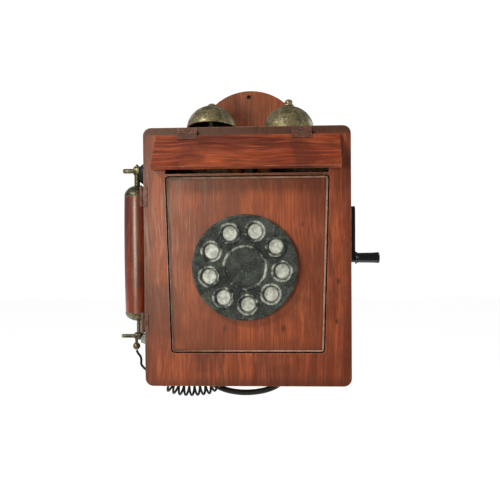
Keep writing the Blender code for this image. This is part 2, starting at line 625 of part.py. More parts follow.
def make_dial():
    plate_back = PANEL_FRONT - GAP
    plate_front = plate_back - 3 * MM
    number_plate = turned("dial_number_plate",
                          [(62 * MM, 3 * MM), (62 * MM, 0), (SHAFT_RADIUS + CLEARANCE, 0),
                           (SHAFT_RADIUS + CLEARANCE, 3 * MM)],
                          DIAL_CENTRE + Vector((0, plate_back, 0)), FORWARD, "silver_spot", 48, ring=True)
    wheel_back = plate_front - 1.8 * MM
    thick = 4.5 * MM
    wheel_profile = [(DIAL_RADIUS - 1.5 * MM, thick), (DIAL_RADIUS, thick - 1.5 * MM), (DIAL_RADIUS, -2 * MM),
                     (DIAL_RADIUS - 2 * MM, -2 * MM), (DIAL_RADIUS - 2 * MM, 0), (SHAFT_RADIUS + GAP, 0),
                     (SHAFT_RADIUS + GAP, thick - 2 * MM), (DIAL_CAP_RADIUS + MM, thick - 2 * MM),
                     (DIAL_CAP_RADIUS + MM, thick)]
    wheel = turned("dial_finger_wheel", wheel_profile, DIAL_CENTRE + Vector((0, wheel_back, 0)), FORWARD,
                   "pewter", 64, ring=True)
    for index in range(DIAL_HOLES):
        angle = DIAL_FIRST_HOLE + index * 2 * math.pi / DIAL_HOLES
        spot = DIAL_CENTRE + DIAL_HOLE_CIRCLE * Vector((math.cos(angle), 0, math.sin(angle)))
        join(number_plate, cylinder(f"add_spot{index}", DIAL_SPOT_RADIUS, -MM, 1.2 * MM,
                                    spot + Vector((0, plate_front, 0)), FORWARD, segments=16))
        cut(wheel, cylinder(f"cut_finger{index}", DIAL_HOLE_RADIUS, -5 * MM, thick + MM,
                            spot + Vector((0, wheel_back, 0)), FORWARD, segments=20))
    cap_base = wheel_back - thick + 2 * MM - GAP
    cap = [(0, 3.4 * MM), (15 * MM, 3.0 * MM), (22 * MM, 2.3 * MM), (DIAL_CAP_RADIUS - MM, 1.4 * MM),
           (DIAL_CAP_RADIUS, 0.6 * MM), (DIAL_CAP_RADIUS, 0), (0, 0)]
    turned("dial_centre_cap", cap, DIAL_CENTRE + Vector((0, cap_base, 0)), FORWARD, "pewter", 40)
    make_dial_train(cap_base + GAP)


def make_dial_train(shaft_front):
    gear_y = PANEL_BACK + 3 * MM
    rear = gear_y + 5 * MM
    phase = math.pi
    gear = plate("dial_shaft", [gear_outline(DIAL_GEAR_TEETH, DIAL_MODULE, phase)], 3 * MM,
                 DIAL_CENTRE + Vector((0, gear_y, 0)), FORWARD, "aged_brass")
    join(gear, cylinder("add_dial_shaft", SHAFT_RADIUS, 0, rear - shaft_front,
                        DIAL_CENTRE + Vector((0, rear, 0)), FORWARD, segments=20))
    centre = governor_centre()
    pinion_phase = math.pi / GOVERNOR_TEETH
    pinion = plate("dial_governor", [gear_outline(GOVERNOR_TEETH, DIAL_MODULE, pinion_phase)], 4 * MM,
                   centre + Vector((0, gear_y, 0)), FORWARD, "aged_brass")
    drum = [(0, 24 * MM), (2 * MM, 24 * MM), (2 * MM, 11 * MM), (9 * MM, 11 * MM), (9 * MM, 3 * MM),
            (2 * MM, 3 * MM), (2 * MM, 0), (0, 0)]
    join(pinion, turned("add_governor_drum", drum, centre + Vector((0, PANEL_BACK + 19.5 * MM, 0)), FORWARD,
                        segments=20))


def make_crank():
    bore = SHAFT_RADIUS + CLEARANCE
    bush = [(13 * MM, CASE_HALF + 2.6 * MM), (13 * MM, CASE_HALF + GAP), (8 * MM, CASE_HALF + GAP),
            (8 * MM, INNER_HALF - MM), (bore, INNER_HALF - MM), (bore, CASE_HALF + 2.6 * MM)]
    axis = (0, CRANK_Y, CRANK_Z)
    turned("crank_bush", bush, axis, RIGHTWARD, "aged_brass", 24, ring=True)
    low_x, high_x = CRANK_ARM_X
    outline = (arc(0, 0, CRANK_ARM_RADIUS, 0, 180, 10)
               + arc(0, -CRANK_THROW, CRANK_ARM_RADIUS - MM, 180, 360, 10))
    hole = arc(0, 0, SHAFT_RADIUS + GAP, 0, 345, 23)
    arm = plate("crank_arm", [outline, hole], high_x - low_x, ((low_x + high_x) / 2, CRANK_Y, CRANK_Z),
                RIGHTWARD, "dark_iron")
    pin_at = (0, CRANK_Y, CRANK_Z - CRANK_THROW)
    join(arm, cylinder("add_crank_pin", 2.5 * MM, low_x + MM, KNOB_X[1] - 5 * MM, pin_at, RIGHTWARD, segments=16))
    near, far = KNOB_X
    bore = 2.5 * MM + CLEARANCE
    knob = [(0, far), (KNOB_RADIUS - 0.6 * MM, far), (KNOB_RADIUS + 0.7 * MM, far - 1.2 * MM),
            (KNOB_RADIUS + 0.4 * MM, far - 4 * MM), (KNOB_RADIUS, far - 9 * MM), (KNOB_RADIUS - 0.2 * MM, near + 3.5 * MM),
            (KNOB_RADIUS + 1.8 * MM, near), (bore, near), (bore, far - 4 * MM), (0, far - 4 * MM)]
    turned("crank_knob", knob, pin_at, RIGHTWARD, "black_plastic", 24)
    make_magneto(axis)


def make_magneto(axis):
    gear_x = 108 * MM
    near_x, far_x = 38 * MM, 101.5 * MM
    shaft = plate("crank_shaft", [gear_outline(CRANK_GEAR_TEETH, MAGNETO_MODULE, -math.pi / 2)], 5 * MM,
                  (gear_x, CRANK_Y, CRANK_Z), RIGHTWARD, "aged_brass")
    join(shaft, cylinder("add_crank_shaft", SHAFT_RADIUS, near_x - 2 * MM, CRANK_ARM_X[1] - GAP, axis, RIGHTWARD,
                         segments=20))
    distance = MAGNETO_MODULE * (CRANK_GEAR_TEETH + ARMATURE_TEETH) / 2
    armature_z = CRANK_Z - distance
    low = (0, CRANK_Y, armature_z)
    phase = math.pi / 2 + math.pi / ARMATURE_TEETH
    armature = plate("magneto_armature", [gear_outline(ARMATURE_TEETH, MAGNETO_MODULE, phase)], 6 * MM,
                     (gear_x, CRANK_Y, armature_z), RIGHTWARD, "bright_steel")
    drum = [(0, gear_x + 3 * MM), (3 * MM, gear_x + 3 * MM), (3 * MM, 94 * MM), (ARMATURE_RADIUS, 94 * MM),
            (ARMATURE_RADIUS, 46 * MM), (3 * MM, 46 * MM), (3 * MM, near_x - 2 * MM), (0, near_x - 2 * MM)]
    join(armature, turned("add_armature_drum", drum, low, RIGHTWARD, segments=20))
    half = 24 * MM
    rear = BACKBOARD_FRONT - GAP
    base_z = armature_z - 19 * MM
    frame = box("magneto_frame", (near_x, CRANK_Y - half, base_z - 4 * MM), (far_x, rear, base_z), "dark_iron")
    inset = 0.7 * MM
    additions = [box("add_magneto_back", (near_x + inset, rear - 4 * MM, base_z - 2 * MM),
                     (far_x - inset, rear - inset, base_z + 34 * MM))]
    for index, x in enumerate((near_x + inset, far_x - inset - 3.5 * MM)):
        additions.append(box(f"add_magneto_end{index}", (x, CRANK_Y - half + inset, base_z - 2 * MM),
                             (x + 3.5 * MM, CRANK_Y + half, CRANK_Z + 8 * MM)))
    join(frame, *additions)
    for name, radius, at in (("crank", SHAFT_RADIUS, axis), ("armature", 3 * MM, low)):
        cut(frame, cylinder("cut_frame_" + name, radius + CLEARANCE, near_x - MM, far_x + MM, at, RIGHTWARD,
                            segments=20))
    inner, outer = 12.5 * MM, 20.5 * MM
    bend_z = armature_z + 8 * MM
    outline = (arc(0, 0, outer, 0, 180, 16) + [(-outer, base_z + GAP - bend_z), (-inner, base_z + GAP - bend_z)]
               + arc(0, 0, inner, 180, 0, 12) + [(inner, base_z + GAP - bend_z), (outer, base_z + GAP - bend_z)])
    for index, x in enumerate(MAGNET_CENTRES_X, start=1):
        plate(f"magneto_magnet_{index}", [outline], MAGNET_THICKNESS, (x, CRANK_Y, bend_z), RIGHTWARD, "dark_iron")


def make_handset():
    at = (HANDSET_X, HANDSET_Y, 0)
    middle = (HANDLE_TOP_Z + HANDLE_BOTTOM_Z) / 2
    handle = [(0, HANDLE_TOP_Z), (HANDLE_RADIUS - 0.8 * MM, HANDLE_TOP_Z), (HANDLE_RADIUS - 0.2 * MM, middle + 45 * MM),
              (HANDLE_RADIUS, middle), (HANDLE_RADIUS - 0.2 * MM, middle - 45 * MM),
              (HANDLE_RADIUS - 0.8 * MM, HANDLE_BOTTOM_Z), (0, HANDLE_BOTTOM_Z)]
    turned("handset_handle", handle, at, UP, "case_wood", 32)
    for level, sign in (("upper", 1), ("lower", -1)):
        make_handset_end(level, sign)
    receiver = [(0, CUP_X[1] - 2 * MM), (9 * MM, CUP_X[1] - 1.5 * MM), (RECEIVER_RADIUS - 2.5 * MM, CUP_X[1]),
                (RECEIVER_RADIUS, CUP_X[1] - MM), (RECEIVER_RADIUS, CUP_X[0] + 4 * MM),
                (RECEIVER_RADIUS - 3 * MM, CUP_X[0]), (0, CUP_X[0])]
    turned("handset_receiver", receiver, (0, HANDSET_Y, RECEIVER_Z), RIGHTWARD, "black_plastic", 32)
    near = CUP_X[0] - 1.2 * MM
    horn = [(0, near + 8 * MM), (4 * MM, near + 8 * MM), (11 * MM, CUP_X[1] - 2 * MM), (12 * MM, CUP_X[1]),
            (13 * MM, CUP_X[1]), (13 * MM, CUP_X[1] - 2 * MM), (9.5 * MM, near + 9 * MM), (6.8 * MM, near + 5 * MM),
            (4.6 * MM, near), (0, near)]
    turned("handset_transmitter", horn, (0, HANDSET_Y, TRANSMITTER_Z), RIGHTWARD, "bright_steel", 32)
    make_hook()


def make_handset_end(level, sign):
    """A domed cap with its stem, cross piece, finial and the rear lug that sits in a notch."""
    at = (HANDSET_X, HANDSET_Y, 0)
    joint_z, dome, stem = ((HANDLE_TOP_Z, 15 * MM, 3.8 * MM) if sign > 0
                           else (HANDLE_BOTTOM_Z, 11.6 * MM, 2.6 * MM))
    rim = HANDLE_RADIUS - 0.4 * MM
    foot = joint_z + sign * GAP
    cross_z, finial_x = CROSS_Z[level], FINIAL_X[level]
    profile = [(0, foot)] + [(rim * math.cos(math.radians(a)), foot + sign * dome * math.sin(math.radians(a)))
                             for a in range(0, 76, 15)]
    profile += [(stem, foot + sign * dome), (stem, cross_z), (0, cross_z)]
    if sign > 0:
        profile.reverse()
    end = turned(f"handset_end_{level}", profile, at, UP, "aged_brass", 32)
    body, pin = (6.4 * MM, 3.2 * MM) if sign > 0 else (5.2 * MM, 2.6 * MM)
    inner_x = CUP_X[0] - GAP - (0 if sign > 0 else 1.2 * MM)
    cross = [(0, inner_x), (body - MM, inner_x), (body, inner_x - MM), (body, inner_x - 7.5 * MM),
             (body - 1.2 * MM, inner_x - 9 * MM), (pin, inner_x - 9.6 * MM), (pin, finial_x + MM),
             (pin - MM, finial_x), (0, finial_x)]
    additions = [turned(f"add_cross_{level}", cross, (0, HANDSET_Y, cross_z), RIGHTWARD, segments=20),
                 cylinder(f"add_lug_{level}", LUG_RADIUS, LUG_END_Y - HANDSET_Y, 0,
                          (HANDSET_X, HANDSET_Y, cross_z), BACKWARD, segments=16)]
    if sign > 0:
        crown = [(0, 9 * MM)] + [(stem * math.sin(math.radians(a)), 9 * MM * math.cos(math.radians(a)))
                                 for a in range(15, 91, 15)] + [(0, 0)]
        additions.append(turned("add_crown", crown, (HANDSET_X, HANDSET_Y, cross_z), UP, segments=20))
    else:
        drop = Vector((CORD_BALL_X, HANDSET_Y, CORD_BALL_Z))
        ball = [(0, 5 * MM)] + [(5 * MM * math.sin(math.radians(a)), 5 * MM * math.cos(math.radians(a)))
                                for a in range(20, 161, 20)] + [(0, -5 * MM)]
        additions.append(turned("add_cord_ball", ball, drop, UP, segments=20))
        additions.append(cylinder("add_ball_neck", 2 * MM, 0, 13 * MM, drop, UP, segments=12))
    join(end, *additions)


def make_hook():
    """The lever that carries the handset, its bracket, and the fixed fork that steadies the foot."""
    low_y, high_y = LUG_END_Y - 5 * MM, LUG_END_Y - 0.5 * MM
    side_left = bpy.data.objects["side_left"]
    for name, level, inner_x, drop in (("hook_lever", "upper", HOOK_PIVOT.x, 7 * MM),
                                       ("rest_fork", "lower", -INNER_HALF - 2 * MM, 7 * MM)):
        z = CROSS_Z[level]
        arm = box(name, (HANDSET_X - 6 * MM, low_y, z - drop), (inner_x, high_y, z + MM), "aged_brass")
        notch = cylinder("cut_notch_" + level, LUG_RADIUS + GAP, -LUG_RADIUS * 6, LUG_RADIUS * 6,
                         (HANDSET_X, high_y, z), FORWARD)
        mouth = LUG_RADIUS + GAP
        cut(arm, notch, box("cut_mouth_" + level, (HANDSET_X - mouth, low_y - MM, z),
                            (HANDSET_X + mouth, high_y + MM, z + 4 * MM)))
        play = Vector((0, 1, 4)) * MM if level == "upper" else Vector((0, GAP, GAP))
        cut(side_left, box("cut_slot_" + level, Vector((-CASE_HALF - MM, low_y, z - drop)) - play,
                           Vector((MM - INNER_HALF, high_y, z + MM)) + play))
    lever = bpy.data.objects["hook_lever"]
    middle_y = (low_y + high_y) / 2
    pivot = Vector((HOOK_PIVOT.x, middle_y, HOOK_PIVOT.z))
    join(lever, cylinder("add_lever_boss", 6 * MM, low_y - middle_y, high_y - middle_y, pivot, BACKWARD))
    cut(lever, cylinder("cut_lever_bore", 2 * MM + 0.1 * MM, -9 * MM, 9 * MM, pivot, BACKWARD))
    back_x = -INNER_HALF + GAP
    base = box("hook_bracket", (back_x, middle_y - 9 * MM, pivot.z - 26 * MM),
               (back_x + 3 * MM, middle_y + 9 * MM, pivot.z - 9 * MM), "dark_iron")
    switch = box("add_switch_block", (back_x + MM, middle_y - 7.5 * MM, pivot.z - 26 * MM),
                 (pivot.x + 12 * MM, middle_y + 7.5 * MM, pivot.z - 12 * MM))
    ears = [box(f"add_bracket_ear{index}", (back_x, y - MM, pivot.z - 26 * MM),
                (pivot.x + 5 * MM, y + MM, pivot.z + 6 * MM))
            for index, y in enumerate((middle_y - 8 * MM, middle_y + 8 * MM))]
    join(base, switch, *ears, cylinder("add_bracket_pin", 2 * MM, -9 * MM, 9 * MM, pivot, BACKWARD))


def make_inside():
    coil_y = BACKBOARD_FRONT - GAP - 12 * MM
    coil = [(0, 30 * MM), (12 * MM, 30 * MM), (12 * MM, 26 * MM), (9 * MM, 26 * MM), (9 * MM, -26 * MM),
            (12 * MM, -26 * MM), (12 * MM, -30 * MM), (0, -30 * MM)]
    turned("induction_coil", coil, (-60 * MM, coil_y, 30 * MM), RIGHTWARD, "copper_winding", 24)
    cell = [(0, 122 * MM), (6 * MM, 122 * MM), (6 * MM, 114 * MM), (27 * MM, 114 * MM), (28 * MM, 118 * MM),
            (31 * MM, 118 * MM), (31 * MM, 0), (0, 0)]
    turned("dry_cell", cell, (-70 * MM, -55 * MM, -INNER_TOP + GAP), UP, "card", 40)


def make_cords():
    tube("handset_cord_tail", CORD_TAIL_ROUTE, CORD_RADIUS, 5 * MM, "cord_black")
    tube("handset_cord_curl", CURL_ROUTE, CURL_RADIUS, 5 * MM, "cord_black", 3)
    tube("line_cable", CABLE_ROUTE, CABLE_RADIUS, 8 * MM, "cord_black")
    x, y, z = CURL_ROUTE[-1]
    mouth = z * MM + MM
    shelf = -CASE_TOP - GAP
    gland = [(4.5 * MM, -INNER_TOP), (4.5 * MM, shelf), (8 * MM, shelf), (8 * MM, shelf - 2.5 * MM),
             (6 * MM, mouth), (2 * MM, mouth), (2 * MM, -INNER_TOP)]
    turned("cord_gland", gland, (x * MM, y * MM, 0), UP, "arch_wood", 20, ring=True)


def hang(empty_name, location, pieces, parent=None):
    """Parent the pieces that move together to an empty on their joint's axis."""
    axis = bpy.data.objects.new(empty_name, None)
    axis.empty_display_size = 20 * MM
    axis.location = location
    PARTS.objects.link(axis)
    bpy.context.view_layer.update()
    children = [bpy.data.objects[name] for name in pieces]
    if parent:
        axis.parent = parent
        axis.matrix_parent_inverse = parent.matrix_world.inverted()
        bpy.context.view_layer.update()
    for child in children:
        child.parent = axis
        child.matrix_parent_inverse = axis.matrix_world.inverted()
    return axis


def hang_moving_pieces():
    door = hang("door_axis", (DOOR_HINGE_X, door_hinge_y(), 0),
                ["door_board", "door_panel", "door_hinge_upper_door_leaf", "door_hinge_lower_door_leaf",
                 "lid_cheek_left", "lid_cheek_right", "lid_hinge_left_board_leaf", "lid_hinge_right_board_leaf",
                 "lid_hinge_left_pin", "lid_hinge_right_pin", "dial_number_plate"])
    hang("lid_axis", (0, lid_hinge_y(), LID_HINGE_Z), ["lid_board", "lid_hinge_left_lid_leaf",
                                                       "lid_hinge_right_lid_leaf"], door)
    hang("dial_axis", DIAL_CENTRE, ["dial_finger_wheel", "dial_centre_cap", "dial_shaft"], door)
    hang("governor_axis", governor_centre(), ["dial_governor"], door)
    crank = hang("crank_axis", (0, CRANK_Y, CRANK_Z), ["crank_arm", "crank_shaft"])
    hang("knob_axis", (0, CRANK_Y, CRANK_Z - CRANK_THROW), ["crank_knob"], crank)
    drop = MAGNETO_MODULE * (CRANK_GEAR_TEETH + ARMATURE_TEETH) / 2
    hang("armature_axis", (0, CRANK_Y, CRANK_Z - drop), ["magneto_armature"])
    hang("clapper_axis", (RINGER_X, RINGER_Y, CLAPPER_PIVOT_Z), ["ringer_clapper"])
    hang("handset_axis", (HANDSET_X, HANDSET_Y, 0), ["handset_handle", "handset_end_upper", "handset_end_lower",
                                                     "handset_receiver", "handset_transmitter"])
    hang("hook_axis", (HOOK_PIVOT.x, LUG_END_Y, HOOK_PIVOT.z), ["hook_lever"])


clear_scene()
make_materials()
PARTS = make_collection("wall_crank_telephone")
CUTTERS = make_collection("cutters")
make_case()
make_door()
make_lid()
make_door_hinges()
make_lid_hinges()
make_gongs()
make_ringer()
make_dial()
make_crank()
make_handset()
make_inside()
make_cords()
hang_moving_pieces()
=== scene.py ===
"""Looks of a wall crank telephone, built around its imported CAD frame."""
import math

import bmesh
import bpy
from mathutils import Matrix, Vector


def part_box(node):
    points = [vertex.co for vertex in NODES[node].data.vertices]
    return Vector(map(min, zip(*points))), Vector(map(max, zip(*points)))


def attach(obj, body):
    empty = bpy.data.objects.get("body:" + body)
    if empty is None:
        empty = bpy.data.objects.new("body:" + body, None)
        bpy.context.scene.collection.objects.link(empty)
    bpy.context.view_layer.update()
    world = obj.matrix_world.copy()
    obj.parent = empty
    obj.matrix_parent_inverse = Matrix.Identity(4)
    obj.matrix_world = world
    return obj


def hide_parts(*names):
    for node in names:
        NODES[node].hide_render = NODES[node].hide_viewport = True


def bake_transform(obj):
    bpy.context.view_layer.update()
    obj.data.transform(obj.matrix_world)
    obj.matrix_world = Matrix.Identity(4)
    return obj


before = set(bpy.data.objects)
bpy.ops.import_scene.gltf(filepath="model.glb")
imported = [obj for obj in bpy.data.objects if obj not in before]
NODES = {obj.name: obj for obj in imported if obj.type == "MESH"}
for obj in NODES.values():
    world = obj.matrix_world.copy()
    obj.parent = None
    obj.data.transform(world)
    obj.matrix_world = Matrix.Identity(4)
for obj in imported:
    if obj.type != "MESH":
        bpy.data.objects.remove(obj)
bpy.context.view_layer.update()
MM = 0.001

# Camera, fitted to the front's four corners
CAMERA_AT = (0.053, -1.0215, 0.029)
CAMERA_YAW, CAMERA_PITCH, CAMERA_ROLL = -0.0546, -0.0233, -0.0077
CAMERA_LENS, CAMERA_SENSOR = 51.67, 36

# Floor and surrounding light, in metres and world strength
FLOOR_Z, FLOOR_FRONT_Y, FLOOR_REACH = -0.6, -0.45, 6
LIGHT_FROM_AROUND, BACKDROP_BRIGHTNESS = 0.26, 1.05
LIGHT_TARGET = (0, -0.06, 0)

# Routes shared with the CAD, in millimetres
CORD_TAIL_ROUTE = ((-153.2, -66.5, -127.3), (-151.8, -66.5, -131), (-148.2, -66.4, -136),
                   (-147.2, -66, -141), (-147.6, -65.5, -146), (-145, -64.8, -150.6), (-140, -64, -155.5),
                   (-134, -63.2, -161), (-127.5, -62.6, -166.6), (-121, -62, -171.4))
CURL_ROUTE = ((-120.6, -62, -171.7), (-112, -62, -176.4), (-99, -62, -181.2), (-85, -62, -183.2),
              (-74, -62, -182.8), (-62, -62, -181.2), (-50, -62, -178.6), (-40, -62, -175.2),
              (-34, -62, -171.2), (-31.6, -62, -166.2), (-31.5, -62, -162))
CABLE_ROUTE = ((-62, -36.5, -146.5), (-62, -36.5, -157.5), (-61, -36.5, -166), (-56.5, -36.5, -175),
               (-47, -36.5, -182.5), (-30, -36.5, -188.5), (-8, -36.5, -190.8), (14, -36.5, -188.5),
               (31, -36.5, -183), (41, -36.5, -175.5), (45.5, -36.5, -166), (46.5, -36.5, -157.5),
               (46.5, -36.5, -146.5))

# The hollow of the case, where the wood is raw
RAW_FRONT_Y, RAW_BACK_Y = -108.2 * MM, -11.5 * MM
RAW_HALF_X, RAW_HALF_Z = 118.9 * MM, 143.4 * MM

# The cords, and the two bells, which are alike
CORD_RADIUS = 1.6 * MM
CABLE_RADIUS = 4 * MM
WIRE_RADIUS = 1.0 * MM
COIL_RADIUS = 6.0 * MM
COIL_TURNS = 10.5                         # were it full all along; its gentle ends leave 9.2
COIL_SWELL_TURNS = 1.3                    # turns over which it reaches its full radius, at each end
COIL_UNEVEN, COIL_WAVE = 0.05, 5.3        # share by which turns differ, and radians of it in a turn
COIL_STEPS_PER_TURN = 22
SPINE_STEP, CLOSEST_POINTS = 1.0 * MM, 0.2 * MM
COIL_RISE = 20 * MM                       # straight length between the coil and the gland
GONG_RADIUS, GONG_CROWN, GONG_SHEET, GONG_BORE = 33 * MM, 32 * MM, 1.6 * MM, 2.6 * MM
GONG_Y = -71 * MM

# The dial's nine finger holes
DIAL_HOLES = 9
DIAL_FIRST_HOLE = math.radians(34)
DIAL_HOLE_CIRCLE, DIAL_HOLE_RADIUS = 46.6 * MM, 10 * MM
DIAL_DISC_HALF = 1.4 * MM
DIAL_FACE_BACK = 1.6 * MM                 # from the wheel's foremost point to its flat face

# Outlines of the door board and of the panel's field, as (x, z), anticlockwise
DOOR_OUTLINE = [(-130.5 * MM, -164.1 * MM), (130.5 * MM, -164.1 * MM), (130.5 * MM, 162.6 * MM),
                (-130.5 * MM, 162.6 * MM)]
PANEL_OUTLINE = [(-95.9 * MM, -120.7 * MM), (95.7 * MM, -120.7 * MM), (102.5 * MM, 100.3 * MM),
                 (-101.7 * MM, 100.3 * MM)]

# Turns of a piece whose own z axis points up, or out of the front
UP = (0, 0, 0)
FORWARD = (math.radians(90), 0, 0)

# Colours that several materials share
RED_LIGHT, RED_MID, RED_DARK = (0.40, 0.088, 0.025), (0.285, 0.053, 0.014), (0.15, 0.026, 0.008)
RAW_LIGHT, RAW_DARK, RAW_STAIN = (0.34, 0.205, 0.105), (0.17, 0.090, 0.042), (0.07, 0.035, 0.018)
# Near-black painted shade for corners, crevices and grooves, on stained and on raw wood
PAINTED_SHADE, RAW_PAINTED_SHADE = (0.012, 0.006, 0.004), (0.03, 0.015, 0.008)


# ---------------------------------------------------------------- studio
def make_camera():
    yaw, pitch = CAMERA_YAW, CAMERA_PITCH
    forward = Vector((math.sin(yaw) * math.cos(pitch), math.cos(yaw) * math.cos(pitch), math.sin(pitch)))
    right = Vector((math.cos(yaw), -math.sin(yaw), 0))
    up = right.cross(forward)
    c, s = math.cos(CAMERA_ROLL), math.sin(CAMERA_ROLL)
    right, up = c * right + s * up, c * up - s * right
    data = bpy.data.cameras.new("camera")
    data.lens = CAMERA_LENS
    data.sensor_width = CAMERA_SENSOR
    camera = bpy.data.objects.new("camera", data)
    turn = Matrix((right, up, -forward)).transposed().to_4x4()
    camera.matrix_world = Matrix.Translation(CAMERA_AT) @ turn
    bpy.context.scene.collection.objects.link(camera)
    bpy.context.scene.camera = camera


def area_light(name, at, target, size, power, colour=(1, 1, 1)):
    data = bpy.data.lights.new(name, "AREA")
    data.shape = "DISK"
    data.size = size
    data.energy = power
    data.color = colour
    light = bpy.data.objects.new(name, data)
    light.location = at
    light.rotation_euler = (Vector(target) - Vector(at)).to_track_quat("-Z", "Y").to_euler()
    bpy.context.scene.collection.objects.link(light)


def make_world():
    scene = bpy.context.scene
    scene.view_settings.view_transform = "Standard"
    world = bpy.data.worlds.new("studio")
    world.use_nodes = True
    tree = world.node_tree
    back = tree.nodes["Background"]
    path = tree.nodes.new("ShaderNodeLightPath")
    strength = tree.nodes.new("ShaderNodeMapRange")
    strength.inputs["To Min"].default_value = LIGHT_FROM_AROUND
    strength.inputs["To Max"].default_value = BACKDROP_BRIGHTNESS
    tree.links.new(path.outputs["Is Camera Ray"], strength.inputs["Value"])
    tree.links.new(strength.outputs["Result"], back.inputs["Strength"])
    back.inputs["Color"].default_value = (1, 1, 1, 1)
    scene.world = world


def make_lights():
    area_light("key", (-1.15, -1.25, 1.25), LIGHT_TARGET, 0.32, 26.0, (1.0, 0.97, 0.92))
    area_light("sheen", (-0.40, -1.05, 0.05), (-0.14, -0.1, 0), 0.36, 4.6, (1.0, 1.0, 0.80))
    area_light("fill", (1.1, -0.7, 0.2), LIGHT_TARGET, 0.8, 4.0)
    area_light("back_left", (-0.8, 1.1, 0.6), LIGHT_TARGET, 0.9, 4.0)
    area_light("back_right", (1.1, 0.8, 0.4), LIGHT_TARGET, 0.9, 5.0)


def make_floor():
    mesh = bpy.data.meshes.new("floor")
    reach = FLOOR_REACH
    mesh.from_pydata([(-reach, FLOOR_FRONT_Y, FLOOR_Z), (reach, FLOOR_FRONT_Y, FLOOR_Z),
                      (reach, reach, FLOOR_Z), (-reach, reach, FLOOR_Z)], [], [(0, 1, 2, 3)])
    floor = bpy.data.objects.new("floor", mesh)
    bpy.context.scene.collection.objects.link(floor)
    material = bpy.data.materials.new("pale_floor")
    material.use_nodes = True
    shader = material.node_tree.nodes["Principled BSDF"]
    shader.inputs["Base Color"].default_value = (0.85, 0.85, 0.85, 1)
    shader.inputs["Emission Color"].default_value = (1, 1, 1, 1)
    shader.inputs["Emission Strength"].default_value = 0.75
    mesh.materials.append(material)


# ---------------------------------------------------------------- node helpers
class Paint:
    """A material under construction: each method adds a node and returns its main output."""

    def __init__(self, name, **uniform):
        self.material = bpy.data.materials.new(name)
        self.material.use_nodes = True
        self.tree = self.material.node_tree
        self.shader = self.tree.nodes["Principled BSDF"]
        for key, value in uniform.items():
            self.shader.inputs[key.replace("_", " ")].default_value = value
        self.place = self.add("ShaderNodeTexCoord").outputs["Object"]

    def add(self, kind, inputs=None, **settings):
        node = self.tree.nodes.new(kind)
        for key, value in settings.items():
            setattr(node, key, value)
        for key, value in (inputs or {}).items():
            self.set(node.inputs[key], value)
        return node

    def set(self, socket, value):
        if isinstance(value, bpy.types.NodeSocket):
            self.tree.links.new(value, socket)
        elif socket.type == "RGBA" and len(value) == 3:
            socket.default_value = (*value, 1)
        else:
            socket.default_value = value

    def math(self, operation, a, b=0.0, clamp=False):
        return self.add("ShaderNodeMath", {0: a, 1: b}, operation=operation, use_clamp=clamp).outputs[0]

    def scaled(self, factors, vector=None):
        return self.add("ShaderNodeMapping", {"Vector": vector or self.place, "Scale": factors}).outputs[0]

    def noise(self, vector, scale, detail=4.0, rough=0.55, distort=0.0):
        return self.add("ShaderNodeTexNoise", {"Vector": vector, "Scale": scale, "Detail": detail,
                                               "Roughness": rough, "Distortion": distort}).outputs["Fac"]

    def ramp(self, value, low, high, to_low=0.0, to_high=1.0):
        return self.add("ShaderNodeMapRange", {"Value": value, "From Min": low, "From Max": high,
                                               "To Min": to_low, "To Max": to_high},
                        interpolation_type="SMOOTHSTEP").outputs["Result"]

    def mix(self, share, a, b, blend="MIX"):
        node = self.add("ShaderNodeMix", data_type="RGBA", blend_type=blend)
        self.set(node.inputs["Factor"], share)
        self.set([s for s in node.inputs if s.name == "A" and s.type == "RGBA"][0], a)
        self.set([s for s in node.inputs if s.name == "B" and s.type == "RGBA"][0], b)
        return [s for s in node.outputs if s.type == "RGBA"][0]

    def axis(self, index):
        return self.add("ShaderNodeSeparateXYZ", {0: self.place}).outputs[index]

    def offset(self, vector, origin):
        return self.add("ShaderNodeVectorMath", {0: vector, 1: origin}, operation="SUBTRACT").outputs[0]

    def length(self, vector):
        return self.add("ShaderNodeVectorMath", {0: vector}, operation="LENGTH").outputs["Value"]

    def edges(self, radius):
        """About 1 on edges within the radius, 0 on flat faces."""
        bevel = self.add("ShaderNodeBevel", {"Radius": radius}, samples=4).outputs[0]
        normal = self.add("ShaderNodeNewGeometry").outputs["Normal"]
        dot = self.add("ShaderNodeVectorMath", {0: bevel, 1: normal}, operation="DOT_PRODUCT")
        return self.ramp(dot.outputs["Value"], 0.995, 0.80)

    def crevices(self, distance):
        """About 1 in corners and under overhangs, 0 in the open."""
        openness = self.add("ShaderNodeAmbientOcclusion", {"Distance": distance}, samples=6).outputs["AO"]
        return self.ramp(openness, 0.75, 0.15)

    def margin(self, corners):
        """Distance inwards from the nearest side of a convex outline given as (x, z), anticlockwise."""
        nearest = None
        for start, end in zip(corners, corners[1:] + corners[:1]):
            side = (Vector(end) - Vector(start)).normalized()
            inward = (-side.y, 0, side.x)
            offset = Vector(start).dot(Vector((-side.y, side.x)))
            along = self.add("ShaderNodeVectorMath", {0: self.place, 1: inward}, operation="DOT_PRODUCT")
            reach = self.math("SUBTRACT", along.outputs["Value"], offset)
            nearest = reach if nearest is None else self.math("MINIMUM", nearest, reach)
        return nearest

    def inside_case(self):
        """1 on the faces that bound the hollow of the case, which were never stained."""
        share = self.math("GREATER_THAN", self.axis(1), RAW_FRONT_Y)
        for index, limit in ((0, RAW_HALF_X), (2, RAW_HALF_Z)):
            near = self.math("LESS_THAN", self.math("ABSOLUTE", self.axis(index)), limit)
            share = self.math("MULTIPLY", share, near)
        return self.math("MULTIPLY", share, self.math("LESS_THAN", self.axis(1), RAW_BACK_Y))

    def bump(self, height, strength, distance):
        node = self.add("ShaderNodeBump", {"Height": height, "Strength": strength, "Distance": distance})
        self.set(self.shader.inputs["Normal"], node.outputs[0])

    def finish(self, colour, roughness=None):
        self.set(self.shader.inputs["Base Color"], colour)
        if roughness is not None:
            self.set(self.shader.inputs["Roughness"], roughness)
        return self.material


